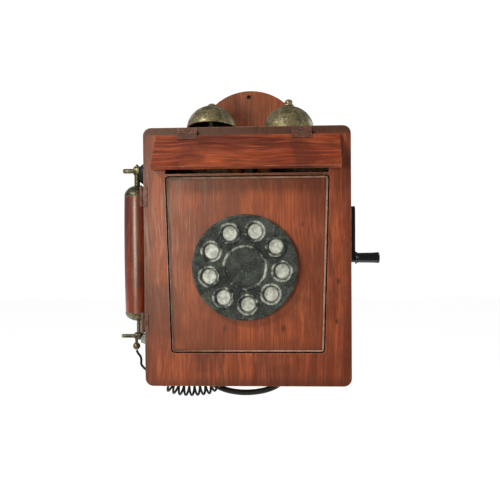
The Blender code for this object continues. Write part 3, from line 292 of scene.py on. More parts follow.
# ---------------------------------------------------------------- materials
def shade(colour, factor):
    """A colour made darker or lighter, no brighter than 1."""
    return [min(1.0, channel * factor) for channel in colour]


def add_knots(paint, colour, knots, grain, wobble, tint):
    """Dark round spots at (x, z, size) in millimetres, drawn out a little along the grain."""
    for x, z, size in knots:
        near = paint.offset(paint.place, (x * MM, 0, z * MM))
        reach = paint.length(paint.scaled((1, 0, 0.6) if grain == "z" else (0.6, 0, 1), near))
        reach = paint.math("ADD", reach, paint.math("MULTIPLY", wobble, size * 0.6 * MM))
        colour = paint.mix(paint.ramp(reach, size * 1.6 * MM, size * 0.5 * MM, 0.0, 0.85), colour, tint)
    return colour


def add_bead(paint, colour, outline, rub, worn, mid, dark):
    """Panel moulding: rubbed bead with painted highlight to the right, painted groove shade, darker toward
    the edge.
    """
    margin = paint.margin(outline)
    across = paint.axis(0)
    # The rubbed bead, lighter toward the right: partly worn wood, partly a painted highlight
    strip = paint.math("MULTIPLY", paint.ramp(margin, 0.3 * MM, 0.9 * MM),
                       paint.ramp(margin, 2.6 * MM, 1.9 * MM))
    strip = paint.math("MULTIPLY", strip, paint.ramp(rub, 0.30, 0.60, 0.35, 0.9))
    strip = paint.math("MULTIPLY", strip, paint.ramp(across, -100 * MM, 60 * MM, 0.25, 1.0))
    colour = paint.mix(strip, colour, worn)
    # Painted shadow in the groove along the panel's left side
    shadow = paint.math("MULTIPLY", paint.ramp(margin, 3.4 * MM, 1.8 * MM),
                        paint.ramp(across, -60 * MM, -90 * MM, 0.0, 0.92))
    colour = paint.mix(shadow, colour, PAINTED_SHADE)
    # Painted shade: a dark line for the shadow in a fine groove inside the bead
    line = paint.math("MULTIPLY", paint.ramp(margin, 2.5 * MM, 3.0 * MM),
                      paint.ramp(margin, 4.4 * MM, 3.4 * MM))
    colour = paint.mix(paint.math("MULTIPLY", line, 0.7), colour, shade(dark, 0.25))
    # Darker toward the outline's sides
    return paint.mix(paint.ramp(margin, 24 * MM, 4 * MM, 0.0, 0.42), colour, shade(mid, 0.35))


def wood(name, light, mid, dark, grain="z", worn=(0.42, 0.20, 0.13), knots=(), streaks=1.0,
         band=None, coat=0.0, coat_rough=0.2, gloss=0.38, dark_rim=None, bead=None):
    """Stained board: streaks and fibres along the grain, blotches, knots, rubbed edges, painted shade in the
    corners.

    Band is (low, high, tint, share) in z, a tint fading in from low to high; the darkened sides and the bead
    follow outlines as (x, z).
    """
    paint = Paint(name, Coat_Weight=coat, Coat_Roughness=coat_rough, Specular_IOR_Level=0.40)
    across, along = 1.0, 0.055
    factors = {"x": (along, across, across), "z": (across, across, along)}[grain]
    drift = paint.noise(paint.place, 7.0, 2.0)
    drift = paint.offset(drift, (0.5, 0.5, 0.5))
    bent = paint.add("ShaderNodeVectorMath", {0: drift, "Scale": 0.016}, operation="SCALE").outputs[0]
    moved = paint.add("ShaderNodeVectorMath", {0: paint.place, 1: bent}, operation="ADD").outputs[0]
    stretched = paint.scaled(factors, moved)
    broad = paint.noise(stretched, 55.0, 3.0, 0.55)
    fine = paint.noise(stretched, 330.0, 3.0, 0.6)
    lines = paint.noise(stretched, 170.0, 5.0, 0.72)
    hair = paint.noise(paint.scaled([f if f == 1.0 else 0.02 for f in factors], moved), 900.0, 2.0, 0.6)
    blotch = paint.noise(paint.place, 13.0, 3.0, 0.6, 0.6)
    cloudy = paint.noise(paint.scaled([0.5 if f < 1 else 1.0 for f in factors]), 30.0, 3.0, 0.55, 0.8)
    colour = paint.mix(paint.ramp(broad, 0.36, 0.66), dark, mid)
    colour = paint.mix(paint.math("MULTIPLY", paint.ramp(fine, 0.45, 0.72), 0.75), colour, light)
    colour = paint.mix(paint.ramp(hair, 0.60, 0.36, 0.0, 0.45 * streaks), colour, shade(dark, 0.45))
    colour = paint.mix(paint.ramp(blotch, 0.34, 0.62, 0.62, 0.0), colour, shade(dark, 0.55))
    colour = paint.mix(paint.ramp(cloudy, 0.50, 0.75, 0.0, 0.28), colour, shade(light, 1.15))
    colour = paint.mix(paint.ramp(lines, 0.55, 0.64, 0.0, 0.40), colour, shade(dark, 0.7))
    colour = paint.mix(paint.ramp(lines, 0.42, 0.33, 0.0, 0.35), colour, shade(light, 1.1))
    colour = add_knots(paint, colour, knots, grain, broad, shade(dark, 0.35))
    # A darker tint fading in above the given height
    if band:
        low, high, tint, share = band
        colour = paint.mix(paint.ramp(paint.axis(2), low * MM, high * MM, 0.0, share), colour, tint)
    rub = paint.noise(paint.place, 90.0, 3.0)
    # Darker toward the sides of the given outline
    if dark_rim:
        margin = paint.math("ADD", paint.margin(dark_rim), paint.math("MULTIPLY", blotch, 9 * MM))
        colour = paint.mix(paint.ramp(margin, 21 * MM, 3 * MM, 0.0, 0.74), colour, shade(mid, 0.24))
    if bead:
        colour = add_bead(paint, colour, bead, rub, worn, mid, dark)
    edge = paint.math("MULTIPLY", paint.edges(1.6 * MM), paint.ramp(rub, 0.34, 0.62, 0.25, 1.0))
    colour = paint.mix(paint.math("MULTIPLY", edge, 0.85), colour, worn)
    # Painted shade in corners, crevices and round raised parts
    colour = paint.mix(paint.math("MULTIPLY", paint.crevices(7 * MM), 0.85), colour, PAINTED_SHADE)
    raw = paint.mix(paint.ramp(fine, 0.35, 0.70), RAW_DARK, RAW_LIGHT)
    raw = paint.mix(paint.ramp(blotch, 0.35, 0.65, 0.35, 0.0), raw, RAW_STAIN)
    # Painted shade in the corners of the raw hollow
    raw = paint.mix(paint.math("MULTIPLY", paint.crevices(14 * MM), 0.7), raw, RAW_PAINTED_SHADE)
    colour = paint.mix(paint.inside_case(), colour, raw)
    height = paint.math("ADD", paint.math("MULTIPLY", hair, 0.5), fine)
    paint.bump(height, 0.35, 0.5 * MM)
    return paint.finish(colour, paint.ramp(fine, 0.30, 0.70, gloss - 0.06, gloss + 0.14))


def metal(name, base, dark, bright, metallic, rough, spots=70.0, wear=0.8, corner_shade=0.9, dents=0.25,
          hollow=None):
    """Aged metal: patina in blotches and pits, rubbed bright on edges, with painted shade in the corners.

    Hollow is the (radius, crown) of a bell, whose inside is painted near black as shade.
    """
    paint = Paint(name, Metallic=metallic)
    blotch = paint.noise(paint.place, spots, 6.0, 0.65, 0.4)
    fleck = paint.noise(paint.place, spots * 6, 3.0, 0.6)
    colour = paint.mix(paint.ramp(blotch, 0.38, 0.62), dark, base)
    colour = paint.mix(paint.ramp(fleck, 0.52, 0.72, 0.0, 0.7), colour, bright)
    colour = paint.mix(paint.ramp(fleck, 0.46, 0.30, 0.0, 0.6), colour, shade(dark, 0.35))
    edge = paint.math("MULTIPLY", paint.edges(1.1 * MM), paint.ramp(blotch, 0.30, 0.60, 0.4, 1.0))
    colour = paint.mix(paint.math("MULTIPLY", edge, wear), colour, bright)
    # Painted shade in corners and recesses
    colour = paint.mix(paint.math("MULTIPLY", paint.crevices(5 * MM), corner_shade), colour, shade(dark, 0.15))
    if hollow:
        radius, crown = hollow
        reach = paint.length(paint.scaled((1 / radius, 1 / radius, 1 / crown)))
        # Painted shade: the bell's inside near black
        colour = paint.mix(paint.math("LESS_THAN", reach, 0.975), colour, shade(dark, 0.10))
    paint.bump(paint.math("ADD", blotch, paint.math("MULTIPLY", fleck, 0.4)), dents, 0.8 * MM)
    return paint.finish(colour, paint.ramp(blotch, 0.30, 0.70, rough + 0.14, rough - 0.08))


def plain(name, base, rough, mottle=0.25, scale=120.0, shine=0.5):
    """A near-uniform finish with faint mottling, dust and surface texture."""
    paint = Paint(name, Specular_IOR_Level=shine)
    cloud = paint.noise(paint.place, scale, 5.0, 0.6)
    colour = paint.mix(paint.ramp(cloud, 0.30, 0.70), shade(base, 1 - mottle), shade(base, 1 + mottle))
    dust = paint.edges(0.8 * MM)
    colour = paint.mix(paint.math("MULTIPLY", dust, 0.25), colour, [min(1.0, c * 1.8 + 0.03) for c in base])
    paint.bump(cloud, 0.08, 0.5 * MM)
    return paint.finish(colour, paint.ramp(cloud, 0.30, 0.70, rough * 0.85, rough * 1.2))


def make_materials():
    return {
        "door_wood": wood("door_wood", RED_LIGHT, RED_MID, RED_DARK,
                          knots=((114, -32, 3.0), (112, -82, 2.4), (-116, 60, 1.5)),
                          band=(151.5, 155, (0.046, 0.020, 0.009), 0.88), dark_rim=DOOR_OUTLINE),
        "panel_wood": wood("panel_wood", (0.42, 0.100, 0.027), (0.33, 0.064, 0.016), (0.21, 0.037, 0.011),
                           knots=((-29, -91, 2.8), (45, -91, 3.2), (-31, -118, 1.2), (70, 40, 1.6)),
                           worn=(0.60, 0.40, 0.30), streaks=1.2, bead=PANEL_OUTLINE),
        "lid_wood": wood("lid_wood", (0.46, 0.092, 0.022), (0.29, 0.043, 0.011), (0.13, 0.019, 0.006),
                         grain="x", streaks=1.5),
        "arch_wood": wood("arch_wood", (0.36, 0.100, 0.028), (0.27, 0.062, 0.017), (0.17, 0.036, 0.011),
                          worn=(0.085, 0.030, 0.015)),
        "case_wood": wood("case_wood", RED_LIGHT, RED_MID, RED_DARK),
        "flat_wood": wood("flat_wood", RED_LIGHT, RED_MID, RED_DARK, grain="x"),
        "handle_wood": wood("handle_wood", (0.33, 0.050, 0.012), (0.20, 0.026, 0.006), (0.085, 0.010, 0.003),
                            coat=0.7, coat_rough=0.24, gloss=0.36),
        "brass": metal("brass", (0.135, 0.118, 0.062), (0.038, 0.034, 0.020), (0.46, 0.42, 0.27),
                       0.75, 0.42),
        "bell_brass": metal("bell_brass", (0.250, 0.205, 0.095), (0.085, 0.072, 0.038), (0.55, 0.49, 0.30),
                            0.65, 0.42, spots=110.0, hollow=(GONG_RADIUS, GONG_CROWN)),
        "hinge": metal("hinge", (0.130, 0.038, 0.018), (0.060, 0.019, 0.010), (0.27, 0.13, 0.085),
                       0.10, 0.48, spots=120.0),
        "iron": metal("iron", (0.016, 0.017, 0.015), (0.007, 0.007, 0.006), (0.085, 0.085, 0.080),
                      0.4, 0.42),
        "screw": metal("screw", (0.110, 0.090, 0.065), (0.030, 0.024, 0.018), (0.34, 0.30, 0.24), 0.7, 0.42,
                       spots=300.0),
        "crank_black": plain("crank_black", (0.005, 0.006, 0.005), 0.42, scale=260.0, mottle=0.4, shine=0.3),
        "steel": metal("steel", (0.36, 0.37, 0.36), (0.20, 0.20, 0.19), (0.62, 0.62, 0.60),
                       0.9, 0.36, wear=0.5),
        "zinc": metal("zinc", (0.34, 0.37, 0.36), (0.17, 0.19, 0.18), (0.60, 0.63, 0.60),
                      0.7, 0.45, wear=0.5),
        "pewter": dial_metal(),
        "silver": metal("silver", (0.60, 0.61, 0.57), (0.36, 0.37, 0.34), (0.82, 0.83, 0.79), 0.25, 0.48,
                        spots=160.0, wear=0.3, corner_shade=0.5, dents=0.5),
        "black_gloss": plain("black_gloss", (0.005, 0.006, 0.005), 0.22, shine=0.4),
        "black_satin": plain("black_satin", (0.006, 0.007, 0.006), 0.45, scale=300.0, shine=0.2),
        "ringer_winding": winding("ringer_winding", 2, 114.5, 13.2),
        "coil_winding": winding("coil_winding", 0, -60, 25.8),
        "cell_jacket": cell_jacket(),
        "green_cloth": cloth("green_cloth", (0.085, 0.130, 0.060), (0.040, 0.065, 0.032)),
        "ochre_cloth": cloth("ochre_cloth", (0.360, 0.230, 0.085), (0.180, 0.105, 0.040)),
        "red_cloth": cloth("red_cloth", (0.280, 0.050, 0.030), (0.130, 0.022, 0.015)),
        "rubber": plain("rubber", (0.006, 0.008, 0.007), 0.46, scale=500.0, mottle=0.35, shine=0.3),
        "red_gland": plain("red_gland", (0.28, 0.05, 0.025), 0.5, scale=200.0),
    }


def dial_metal():
    """Dark cast dial, rubbed light on its raised ridges, with painted shade in its hollows."""
    paint = Paint("pewter", Metallic=0.15, Specular_IOR_Level=0.35)
    cloud = paint.noise(paint.place, 60.0, 6.0, 0.7, 0.5)
    fleck = paint.noise(paint.place, 380.0, 5.0, 0.72)
    colour = paint.mix(paint.ramp(cloud, 0.38, 0.64), (0.010, 0.014, 0.012), (0.042, 0.052, 0.043))
    colour = paint.mix(paint.ramp(fleck, 0.56, 0.70, 0.0, 0.55), colour, (0.25, 0.27, 0.235))
    raised = paint.ramp(paint.axis(2), 2.2 * MM, 3.6 * MM)
    from_axis = paint.length(paint.scaled((1, 1, 0)))
    patchy = paint.math("MULTIPLY", paint.ramp(cloud, 0.44, 0.62),
                        paint.ramp(from_axis, 62.5 * MM, 60 * MM, 0.25, 1.0))
    patchy = paint.math("MULTIPLY", patchy, paint.ramp(from_axis, 22 * MM, 24.5 * MM, 0.12, 1.0))
    rub = paint.math("MULTIPLY", patchy, paint.ramp(fleck, 0.34, 0.60, 0.35, 1.0))
    rub = paint.math("MULTIPLY", raised, rub)
    colour = paint.mix(rub, colour, (0.50, 0.52, 0.46))
    edge = paint.math("MULTIPLY", paint.edges(1.0 * MM), paint.ramp(cloud, 0.46, 0.62))
    colour = paint.mix(paint.math("MULTIPLY", edge, 0.55), colour, (0.30, 0.31, 0.28))
    # Painted shade: near black in the hollows round the finger holes and rims
    colour = paint.mix(paint.math("MULTIPLY", paint.crevices(4 * MM), 0.95), colour, (0.004, 0.005, 0.004))
    paint.bump(paint.math("ADD", cloud, paint.math("MULTIPLY", fleck, 0.6)), 0.9, 2.2 * MM)
    return paint.finish(colour, paint.ramp(cloud, 0.3, 0.7, 0.55, 0.34))


def winding(name, index, middle, half):
    """Varnished copper wire between black fibre cheeks: fine turns seen as ridges along one axis."""
    paint = Paint(name, Metallic=0.3, Coat_Weight=0.3)
    cloud = paint.noise(paint.place, 90.0, 3.0)
    turns = paint.add("ShaderNodeTexWave", {"Vector": paint.place, "Scale": 300.0, "Distortion": 0.6},
                      bands_direction="XYZ"[index]).outputs["Fac"]
    colour = paint.mix(paint.ramp(cloud, 0.3, 0.7), (0.15, 0.040, 0.015), (0.36, 0.120, 0.045))
    colour = paint.mix(paint.ramp(turns, 0.5, 0.1, 0.0, 0.6), colour, (0.05, 0.014, 0.006))
    from_middle = paint.math("ABSOLUTE", paint.math("SUBTRACT", paint.axis(index), middle * MM))
    colour = paint.mix(paint.math("GREATER_THAN", from_middle, half * MM), colour, (0.014, 0.012, 0.011))
    paint.bump(turns, 0.6, 0.4 * MM)
    return paint.finish(colour, 0.42)


def cell_jacket():
    """Dry cell: a stained card jacket with printed bands, a grey band near its foot and black pitch on top.
    """
    paint = Paint("cell_jacket")
    stain = paint.noise(paint.place, 45.0, 5.0, 0.65, 0.5)
    speck = paint.noise(paint.place, 700.0, 2.0)
    colour = paint.mix(paint.ramp(stain, 0.35, 0.68), (0.22, 0.145, 0.075), (0.46, 0.345, 0.205))
    colour = paint.mix(paint.ramp(speck, 0.60, 0.75, 0.0, 0.5), colour, (0.10, 0.06, 0.035))
    height = paint.axis(2)
    for low, high, tint in ((-44, -36, (0.23, 0.035, 0.022)), (-132, -124, (0.23, 0.035, 0.022)),
                            (-122, -120.5, (0.03, 0.025, 0.022)), (-47.5, -46, (0.03, 0.025, 0.022)),
                            (-142.7, -139.5, (0.16, 0.17, 0.17)), (-29.5, -18, (0.012, 0.011, 0.010))):
        inside = paint.math("MULTIPLY", paint.math("GREATER_THAN", height, low * MM),
                            paint.math("LESS_THAN", height, high * MM))
        worn = paint.math("MULTIPLY", inside, paint.ramp(stain, 0.25, 0.40, 0.6, 1.0))
        colour = paint.mix(worn, colour, tint)
    paint.bump(paint.math("ADD", stain, speck), 0.15, 0.6 * MM)
    return paint.finish(colour, paint.ramp(stain, 0.3, 0.7, 0.62, 0.88))


def cloth(name, light, dark):
    """Braided cotton round a wire."""
    paint = Paint(name)
    braid = paint.add("ShaderNodeTexWave", {"Vector": paint.place, "Scale": 420.0, "Distortion": 2.0},
                      bands_direction="DIAGONAL").outputs["Fac"]
    soil = paint.noise(paint.place, 60.0, 3.0)
    colour = paint.mix(paint.ramp(braid, 0.2, 0.8), dark, light)
    colour = paint.mix(paint.ramp(soil, 0.45, 0.25, 0.0, 0.6), colour, shade(dark, 0.35))
    paint.bump(braid, 0.5, 0.3 * MM)
    return paint.finish(colour, 0.85)


# ---------------------------------------------------------------- geometry helpers
def link(name, data, location=(0, 0, 0), turn=UP):
    piece = bpy.data.objects.new(name, data)
    piece.location = location
    piece.rotation_euler = turn
    bpy.context.scene.collection.objects.link(piece)
    return piece


def smooth(piece, angle=40):
    """Smooth shading that keeps edges sharper than the angle."""
    for face in piece.data.polygons:
        face.use_smooth = True
    split = piece.modifiers.new("Sharp edges", "EDGE_SPLIT")
    split.split_angle = math.radians(angle)


def dress(nodes, material, bevel=0.0, segments=3):
    """Give CAD nodes a material, rounded edges and smooth shading, leaving their meshes alone."""
    for name in nodes:
        node = NODES[name]
        node.data.materials.clear()
        node.data.materials.append(MATERIALS[material])
        weld = node.modifiers.new("Weld", "WELD")
        weld.merge_threshold = 0.00001
        if bevel:
            rounding = node.modifiers.new("Rounded edges", "BEVEL")
            rounding.width = bevel
            rounding.segments = segments
            rounding.limit_method = "ANGLE"
            rounding.angle_limit = math.radians(35)
            weight = node.modifiers.new("Flat faces", "WEIGHTED_NORMAL")
            weight.keep_sharp = False
            for face in node.data.polygons:
                face.use_smooth = True
        else:
            smooth(node)


def add_turned(solid, profile, centre, segments=64, closed=False):
    """Add a turned body to a bmesh: points of radius zero close it at its axis."""
    rings = []
    for radius, height in profile:
        if radius < 1e-7:
            rings.append([solid.verts.new(centre + Vector((0, 0, height)))])
            continue
        ring = []
        for i in range(segments):
            angle = 2 * math.pi * i / segments
            place = Vector((radius * math.cos(angle), radius * math.sin(angle), height))
            ring.append(solid.verts.new(centre + place))
        rings.append(ring)
    pairs = list(zip(rings, rings[1:]))
    if closed:
        pairs.append((rings[-1], rings[0]))
    for low, high in pairs:
        for i in range(segments):
            j = (i + 1) % segments
            corners = [low[i % len(low)], low[j % len(low)], high[j % len(high)], high[i % len(high)]]
            unique = list(dict.fromkeys(corners))
            if len(unique) > 2:
                solid.faces.new(unique)


def rounded(points, radius, steps=4):
    """Round the inner corners of a profile by arcs of about the radius."""
    result = [points[0]]
    for before, corner, after in zip(points, points[1:], points[2:]):
        before, corner, after = Vector(before), Vector(corner), Vector(after)
        reach = min(radius, (before - corner).length * 0.45, (after - corner).length * 0.45)
        start = corner + (before - corner).normalized() * reach
        end = corner + (after - corner).normalized() * reach
        for i in range(steps + 1):
            t = i / steps
            result.append(tuple((1 - t) ** 2 * start + 2 * t * (1 - t) * corner + t ** 2 * end))
    result.append(points[-1])
    return result


def smooth_route(route, step):
    """Points about a step apart on a Catmull-Rom curve through a route given in millimetres."""
    knots = [Vector(point) * MM for point in route]
    knots = [2 * knots[0] - knots[1]] + knots + [2 * knots[-1] - knots[-2]]
    points = [knots[1]]
    for before, start, end, after in zip(knots, knots[1:], knots[2:], knots[3:]):
        count = max(1, round((end - start).length / step))
        for i in range(1, count + 1):
            t = i / count
            points.append(0.5 * (2 * start + (end - before) * t
                                 + (2 * before - 5 * start + 4 * end - after) * t ** 2
                                 + (3 * start - before - 3 * end + after) * t ** 3))
    return points


def tube_mesh(name, points, radius, material, sides):
    """A closed tube along points, as one mesh whose rings turn with the path."""
    solid = bmesh.new()
    tangent = (points[1] - points[0]).normalized()
    side = tangent.orthogonal().normalized()
    rings = []
    for index, point in enumerate(points):
        before, after = points[max(0, index - 1)], points[min(len(points) - 1, index + 1)]
        new_tangent = (after - before).normalized()
        side = (side - side.dot(new_tangent) * new_tangent).normalized()
        other = new_tangent.cross(side)
        ring = []
        for k in range(sides):
            angle = 2 * math.pi * k / sides
            ring.append(solid.verts.new(point + radius * (side * math.cos(angle) + other * math.sin(angle))))
        rings.append(ring)
    for low, high in zip(rings, rings[1:]):
        for k in range(sides):
            j = (k + 1) % sides
            solid.faces.new((low[k], low[j], high[j], high[k]))
    solid.faces.new(rings[0][::-1])
    solid.faces.new(rings[-1])
    mesh = bpy.data.meshes.new(name)
    solid.to_mesh(mesh)
    solid.free()
    for face in mesh.polygons:
        face.use_smooth = len(face.vertices) == 4
    mesh.materials.append(MATERIALS[material])
    return link(name, mesh)


def handset_cord_points():
    """The handset cord's centreline: a tail, a coil that swells and shrinks, and the rise to the gland.

    The coil winds round one smooth spine, faster as it swells, so that it enters and leaves gently.
    """
    spine = smooth_route(CORD_TAIL_ROUTE + CURL_ROUTE[1:], SPINE_STEP)
    lengths = [0.0]
    for a, b in zip(spine, spine[1:]):
        lengths.append(lengths[-1] + (b - a).length)
    coil_start = Vector(CURL_ROUTE[0]) * MM
    begin = lengths[min(range(len(spine)), key=lambda i: (spine[i] - coil_start).length)]
    end = lengths[-1] - COIL_RISE
    places = [lengths[i] for i in range(0, len(spine), 2) if lengths[i] < begin]
    count = round(COIL_TURNS * COIL_STEPS_PER_TURN)
    places += [begin + (end - begin) * i / count for i in range(count + 1)]
    places += [at for at in lengths[::2] if at > end + SPINE_STEP] + [lengths[-1]]
    points = []
    out = Vector((0, 1, 0))
    index, angle, last_turn = 0, 0.0, 0.0
    for at in places:
        while index < len(spine) - 2 and lengths[index + 1] < at:
            index += 1
        share = (at - lengths[index]) / (lengths[index + 1] - lengths[index])
        centre = spine[index].lerp(spine[index + 1], share)
        tangent = (spine[min(index + 3, len(spine) - 1)] - spine[max(index - 2, 0)]).normalized()
        up = out.cross(tangent).normalized()
        turn = (at - begin) / (end - begin)
        turns_from_end = min(turn, 1 - turn) * COIL_TURNS
        swell = max(0.0, min(1.0, turns_from_end / COIL_SWELL_TURNS))
        swell = swell * swell * (3 - 2 * swell)
        angle += 2 * math.pi * COIL_TURNS * (max(turn, 0.0) - last_turn) * swell
        last_turn = max(turn, 0.0)
        uneven = 1 + COIL_UNEVEN * math.sin(COIL_WAVE * turn * COIL_TURNS)
        radius = COIL_RADIUS * swell * uneven
        points.append(centre + radius * (math.cos(angle) * up + math.sin(angle) * out))
    return [p for i, p in enumerate(points) if i == 0 or (p - points[i - 1]).length > CLOSEST_POINTS]


def make_handset_cord():
    points = handset_cord_points()
    cord = tube_mesh("handset_cord", points, CORD_RADIUS, "rubber", 12)
    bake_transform(cord)
    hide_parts("handset_cord_tail", "handset_cord_curl")


def make_line_cable():
    points = smooth_route(CABLE_ROUTE, 4 * MM)
    cable = tube_mesh("line_cable_visual", points, CABLE_RADIUS, "rubber", 20)
    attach(cable, "case")
    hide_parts("line_cable")


# ---------------------------------------------------------------- dial
def centre_of(name):
    low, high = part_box(name)
    return (low + high) / 2


def dial_hole_places():
    """Centres of the finger holes, as seen with the dial lying on its back."""
    for k in range(DIAL_HOLES):
        angle = DIAL_FIRST_HOLE + k * 2 * math.pi / DIAL_HOLES
        yield DIAL_HOLE_CIRCLE * math.cos(angle), DIAL_HOLE_CIRCLE * math.sin(angle)


def dial_disc(radius):
    """The flat disc, its finger holes and its middle cut out, as a mesh about its own centre."""
    curve = bpy.data.curves.new("dial_disc", "CURVE")
    curve.dimensions = "2D"
    curve.fill_mode = "BOTH"
    curve.extrude = DIAL_DISC_HALF
    curve.bevel_depth = 0.35 * MM
    curve.bevel_resolution = 2
    outlines = [(0, 0, radius - 0.4 * MM, 128), (0, 0, 5 * MM, 32)]
    outlines += [(x, y, DIAL_HOLE_RADIUS + 0.35 * MM, 40) for x, y in dial_hole_places()]
    for x, y, size, steps in outlines:
        spline = curve.splines.new("POLY")
        spline.points.add(steps - 1)
        spline.use_cyclic_u = True
        for i, point in enumerate(spline.points):
            angle = 2 * math.pi * i / steps
            point.co = (x + size * math.cos(angle), y + size * math.sin(angle), 0, 1)
    flat = link("dial_disc_curve", curve)
    bpy.context.view_layer.update()
    mesh = bpy.data.meshes.new_from_object(flat.evaluated_get(bpy.context.evaluated_depsgraph_get()))
    bpy.data.objects.remove(flat)
    return mesh


def raised_profile(top, points):
    """A profile of (radius, height above the face), in millimetres, as metres about the dial's centre."""
    return [(radius * MM, top + height * MM) for radius, height in points]


def make_dial():
    low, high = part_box("dial_finger_wheel")
    centre = (low + high) / 2
    radius = (high.x - low.x) / 2 / MM
    top = centre.y - (low.y + DIAL_FACE_BACK)
    rear = (centre.y - high.y - top) / MM
    hole = DIAL_HOLE_RADIUS / MM
    mesh = dial_disc(radius * MM)
    solid = bmesh.new()
    solid.from_mesh(mesh)
    bmesh.ops.translate(solid, verts=solid.verts, vec=(0, 0, top - DIAL_DISC_HALF))
    lip = raised_profile(top, [(hole - 0.2, -0.8), (hole + 0.4, 0.8), (hole + 1.9, 2.5), (hole + 2.9, 2.3),
                               (hole + 4.2, 0.6), (hole + 4.7, -0.8)])
    for x, y in dial_hole_places():
        add_turned(solid, rounded(lip, 0.8 * MM, 3), Vector((x, y, 0)), 48)
    rim = raised_profile(top, [(radius - 5.5, -0.5), (radius - 4.4, 0.7), (radius - 2.6, 1.2),
                               (radius - 0.9, 0.6), (radius, -1.2), (radius, rear), (radius - 2, rear),
                               (radius - 2.2, -2.0)])
    add_turned(solid, rounded(rim, 1.2 * MM, 3), Vector((0, 0, 0)), 128, closed=True)
    boss = raised_profile(top, [(29.5, -0.5), (28.4, 1.2), (27.0, 2.5), (25.6, 2.1), (23.6, -0.4), (19, 0.1),
                                (11, 0.8), (0, 1.1)])
    add_turned(solid, rounded(boss, 1.0 * MM, 3), Vector((0, 0, 0)), 96)
    bmesh.ops.recalc_face_normals(solid, faces=solid.faces)
    mesh.materials.clear()
    solid.to_mesh(mesh)
    solid.free()
    mesh.materials.append(MATERIALS["pewter"])
    wheel = link("dial_wheel", mesh, centre, FORWARD)
    smooth(wheel, 45)
    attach(wheel, "dial")
    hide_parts("dial_finger_wheel", "dial_centre_cap")


# ---------------------------------------------------------------- bells
def dome(radius, crown, angles):
    """A quarter ellipse as (radius, height) at angles from its top, in degrees."""
    return [(radius * math.sin(math.radians(a)), crown * math.cos(math.radians(a))) for a in angles]


def make_bell(side, rim_z, lean):
    """A hollow bell of even thickness; lean tips its crown back toward the wall, in degrees."""
    radius, crown = GONG_RADIUS, GONG_CROWN
    inner, top = radius - GONG_SHEET, crown - GONG_SHEET
    outside = [(GONG_BORE, crown)] + dome(radius, crown, range(6, 88, 3))
    outside += [(radius - 0.1 * MM, 2.2 * MM), (radius, 1.6 * MM), (radius, 0.3 * MM)]
    outside += [(radius - 0.3 * MM, 0)]
    inside = [(inner, 0)] + dome(inner, top, range(88, 5, -3)) + [(GONG_BORE, top)]
    solid = bmesh.new()
    add_turned(solid, outside + inside, Vector((0, 0, 0)), 96, closed=True)
    bmesh.ops.recalc_face_normals(solid, faces=solid.faces)
    mesh = bpy.data.meshes.new("bell_" + side)
    solid.to_mesh(mesh)
    solid.free()
    mesh.materials.append(MATERIALS["bell_brass"])
    place = (centre_of("gong_" + side).x, GONG_Y, rim_z)
    bell = link("bell_" + side, mesh, place, (-math.radians(lean), 0, 0))
    smooth(bell, 50)
    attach(bell, "case")
    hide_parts("gong_" + side)


# ---------------------------------------------------------------- wiring and screws
# A strip of terminals on the backboard, and the wires to it, in millimetres. In order, the wires come from
# the dry cell (two), the induction coil (two), the ringer (two), the magneto, the hook switch and the
# handset cord's gland (two).
STRIP_X, STRIP_Y, STRIP_Z = 34, -14.9, -60
STRIP_SIZE = (104, 18, 5)
POST_BASE_Y, WIRE_END_Y = -17.4, -18.6
TERMINAL_X = (-8, 6, 20, 34, 48, 62, 76)
POST_PROFILE = ((3.6, -0.5), (3.6, 0.6), (1.9, 0.7), (1.9, 1.8), (3.1, 1.9), (3.3, 3.2), (2.8, 3.8),
                (0, 4.0))
WIRES = (
    ("ochre_cloth", (-70, -55, -20.2), (-66, -50, -8), (-58, -36, -4), (-44, -22, -14), (-24, -17, -36),
     (-10, -17, -50)),
    ("red_cloth", (-46, -55, -24.2), (-36, -50, -18), (-30, -34, -26), (-16, -20, -38), (0, -17, -44),
     (5, -17, -51)),
    ("green_cloth", (-31.5, -24, 30), (-24, -20, 24), (-14, -16, 0), (6, -16, -24), (18, -17, -40),
     (20, -17, -51)),
    ("ochre_cloth", (-88.5, -24, 20), (-94, -20, 8), (-90, -15, -6), (-60, -15, -12), (0, -15, -20),
     (28, -16, -34), (34, -17, -51)),
    ("green_cloth", (-26, -66, 100.5), (-33, -56, 92), (-34, -32, 82), (-30, -16, 66), (-22, -15, 48),
     (4, -15, 10), (30, -15, -16), (46, -16, -36), (48, -17, -51)),
    ("red_cloth", (30.5, -66, 100.5), (37, -56, 94), (35, -34, 84), (24, -16, 72), (22, -15, 30),
     (26, -15, 0), (52, -15, -22), (61, -16, -38), (62, -17, -51)),
    ("ochre_cloth", (82, -16, -4.5), (84, -15, -14), (80, -15, -30), (77, -16, -42), (76, -17, -51)),
    ("green_cloth", (-105, -46, 84.2), (-106, -34, 74), (-108, -16, 60), (-108, -15, 10), (-106, -15, -4),
     (-70, -15, -8), (-10, -15, -24), (12, -16, -42), (19, -17, -52)),
    ("red_cloth", (-30, -61, -146), (-30, -58, -132), (-24, -40, -116), (-14, -24, -98), (-10, -18, -80),
     (-8, -17, -69)),
    ("green_cloth", (-33, -63, -146), (-32, -60, -130), (-20, -44, -112), (-2, -26, -96), (4, -18, -80),
     (6, -17, -69)),
)


def make_terminal_strip():
    base = bmesh.new()
    bmesh.ops.create_cube(base, size=1.0)
    bmesh.ops.scale(base, vec=Vector(STRIP_SIZE) * MM, verts=base.verts)
    mesh = bpy.data.meshes.new("terminal_strip")
    base.to_mesh(mesh)
    base.free()
    mesh.materials.append(MATERIALS["black_satin"])
    strip = link("terminal_strip", mesh, Vector((STRIP_X, STRIP_Y, STRIP_Z)) * MM, FORWARD)
    rounding = strip.modifiers.new("Rounded edges", "BEVEL")
    rounding.width = 1.2 * MM
    rounding.segments = 3
    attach(strip, "case")


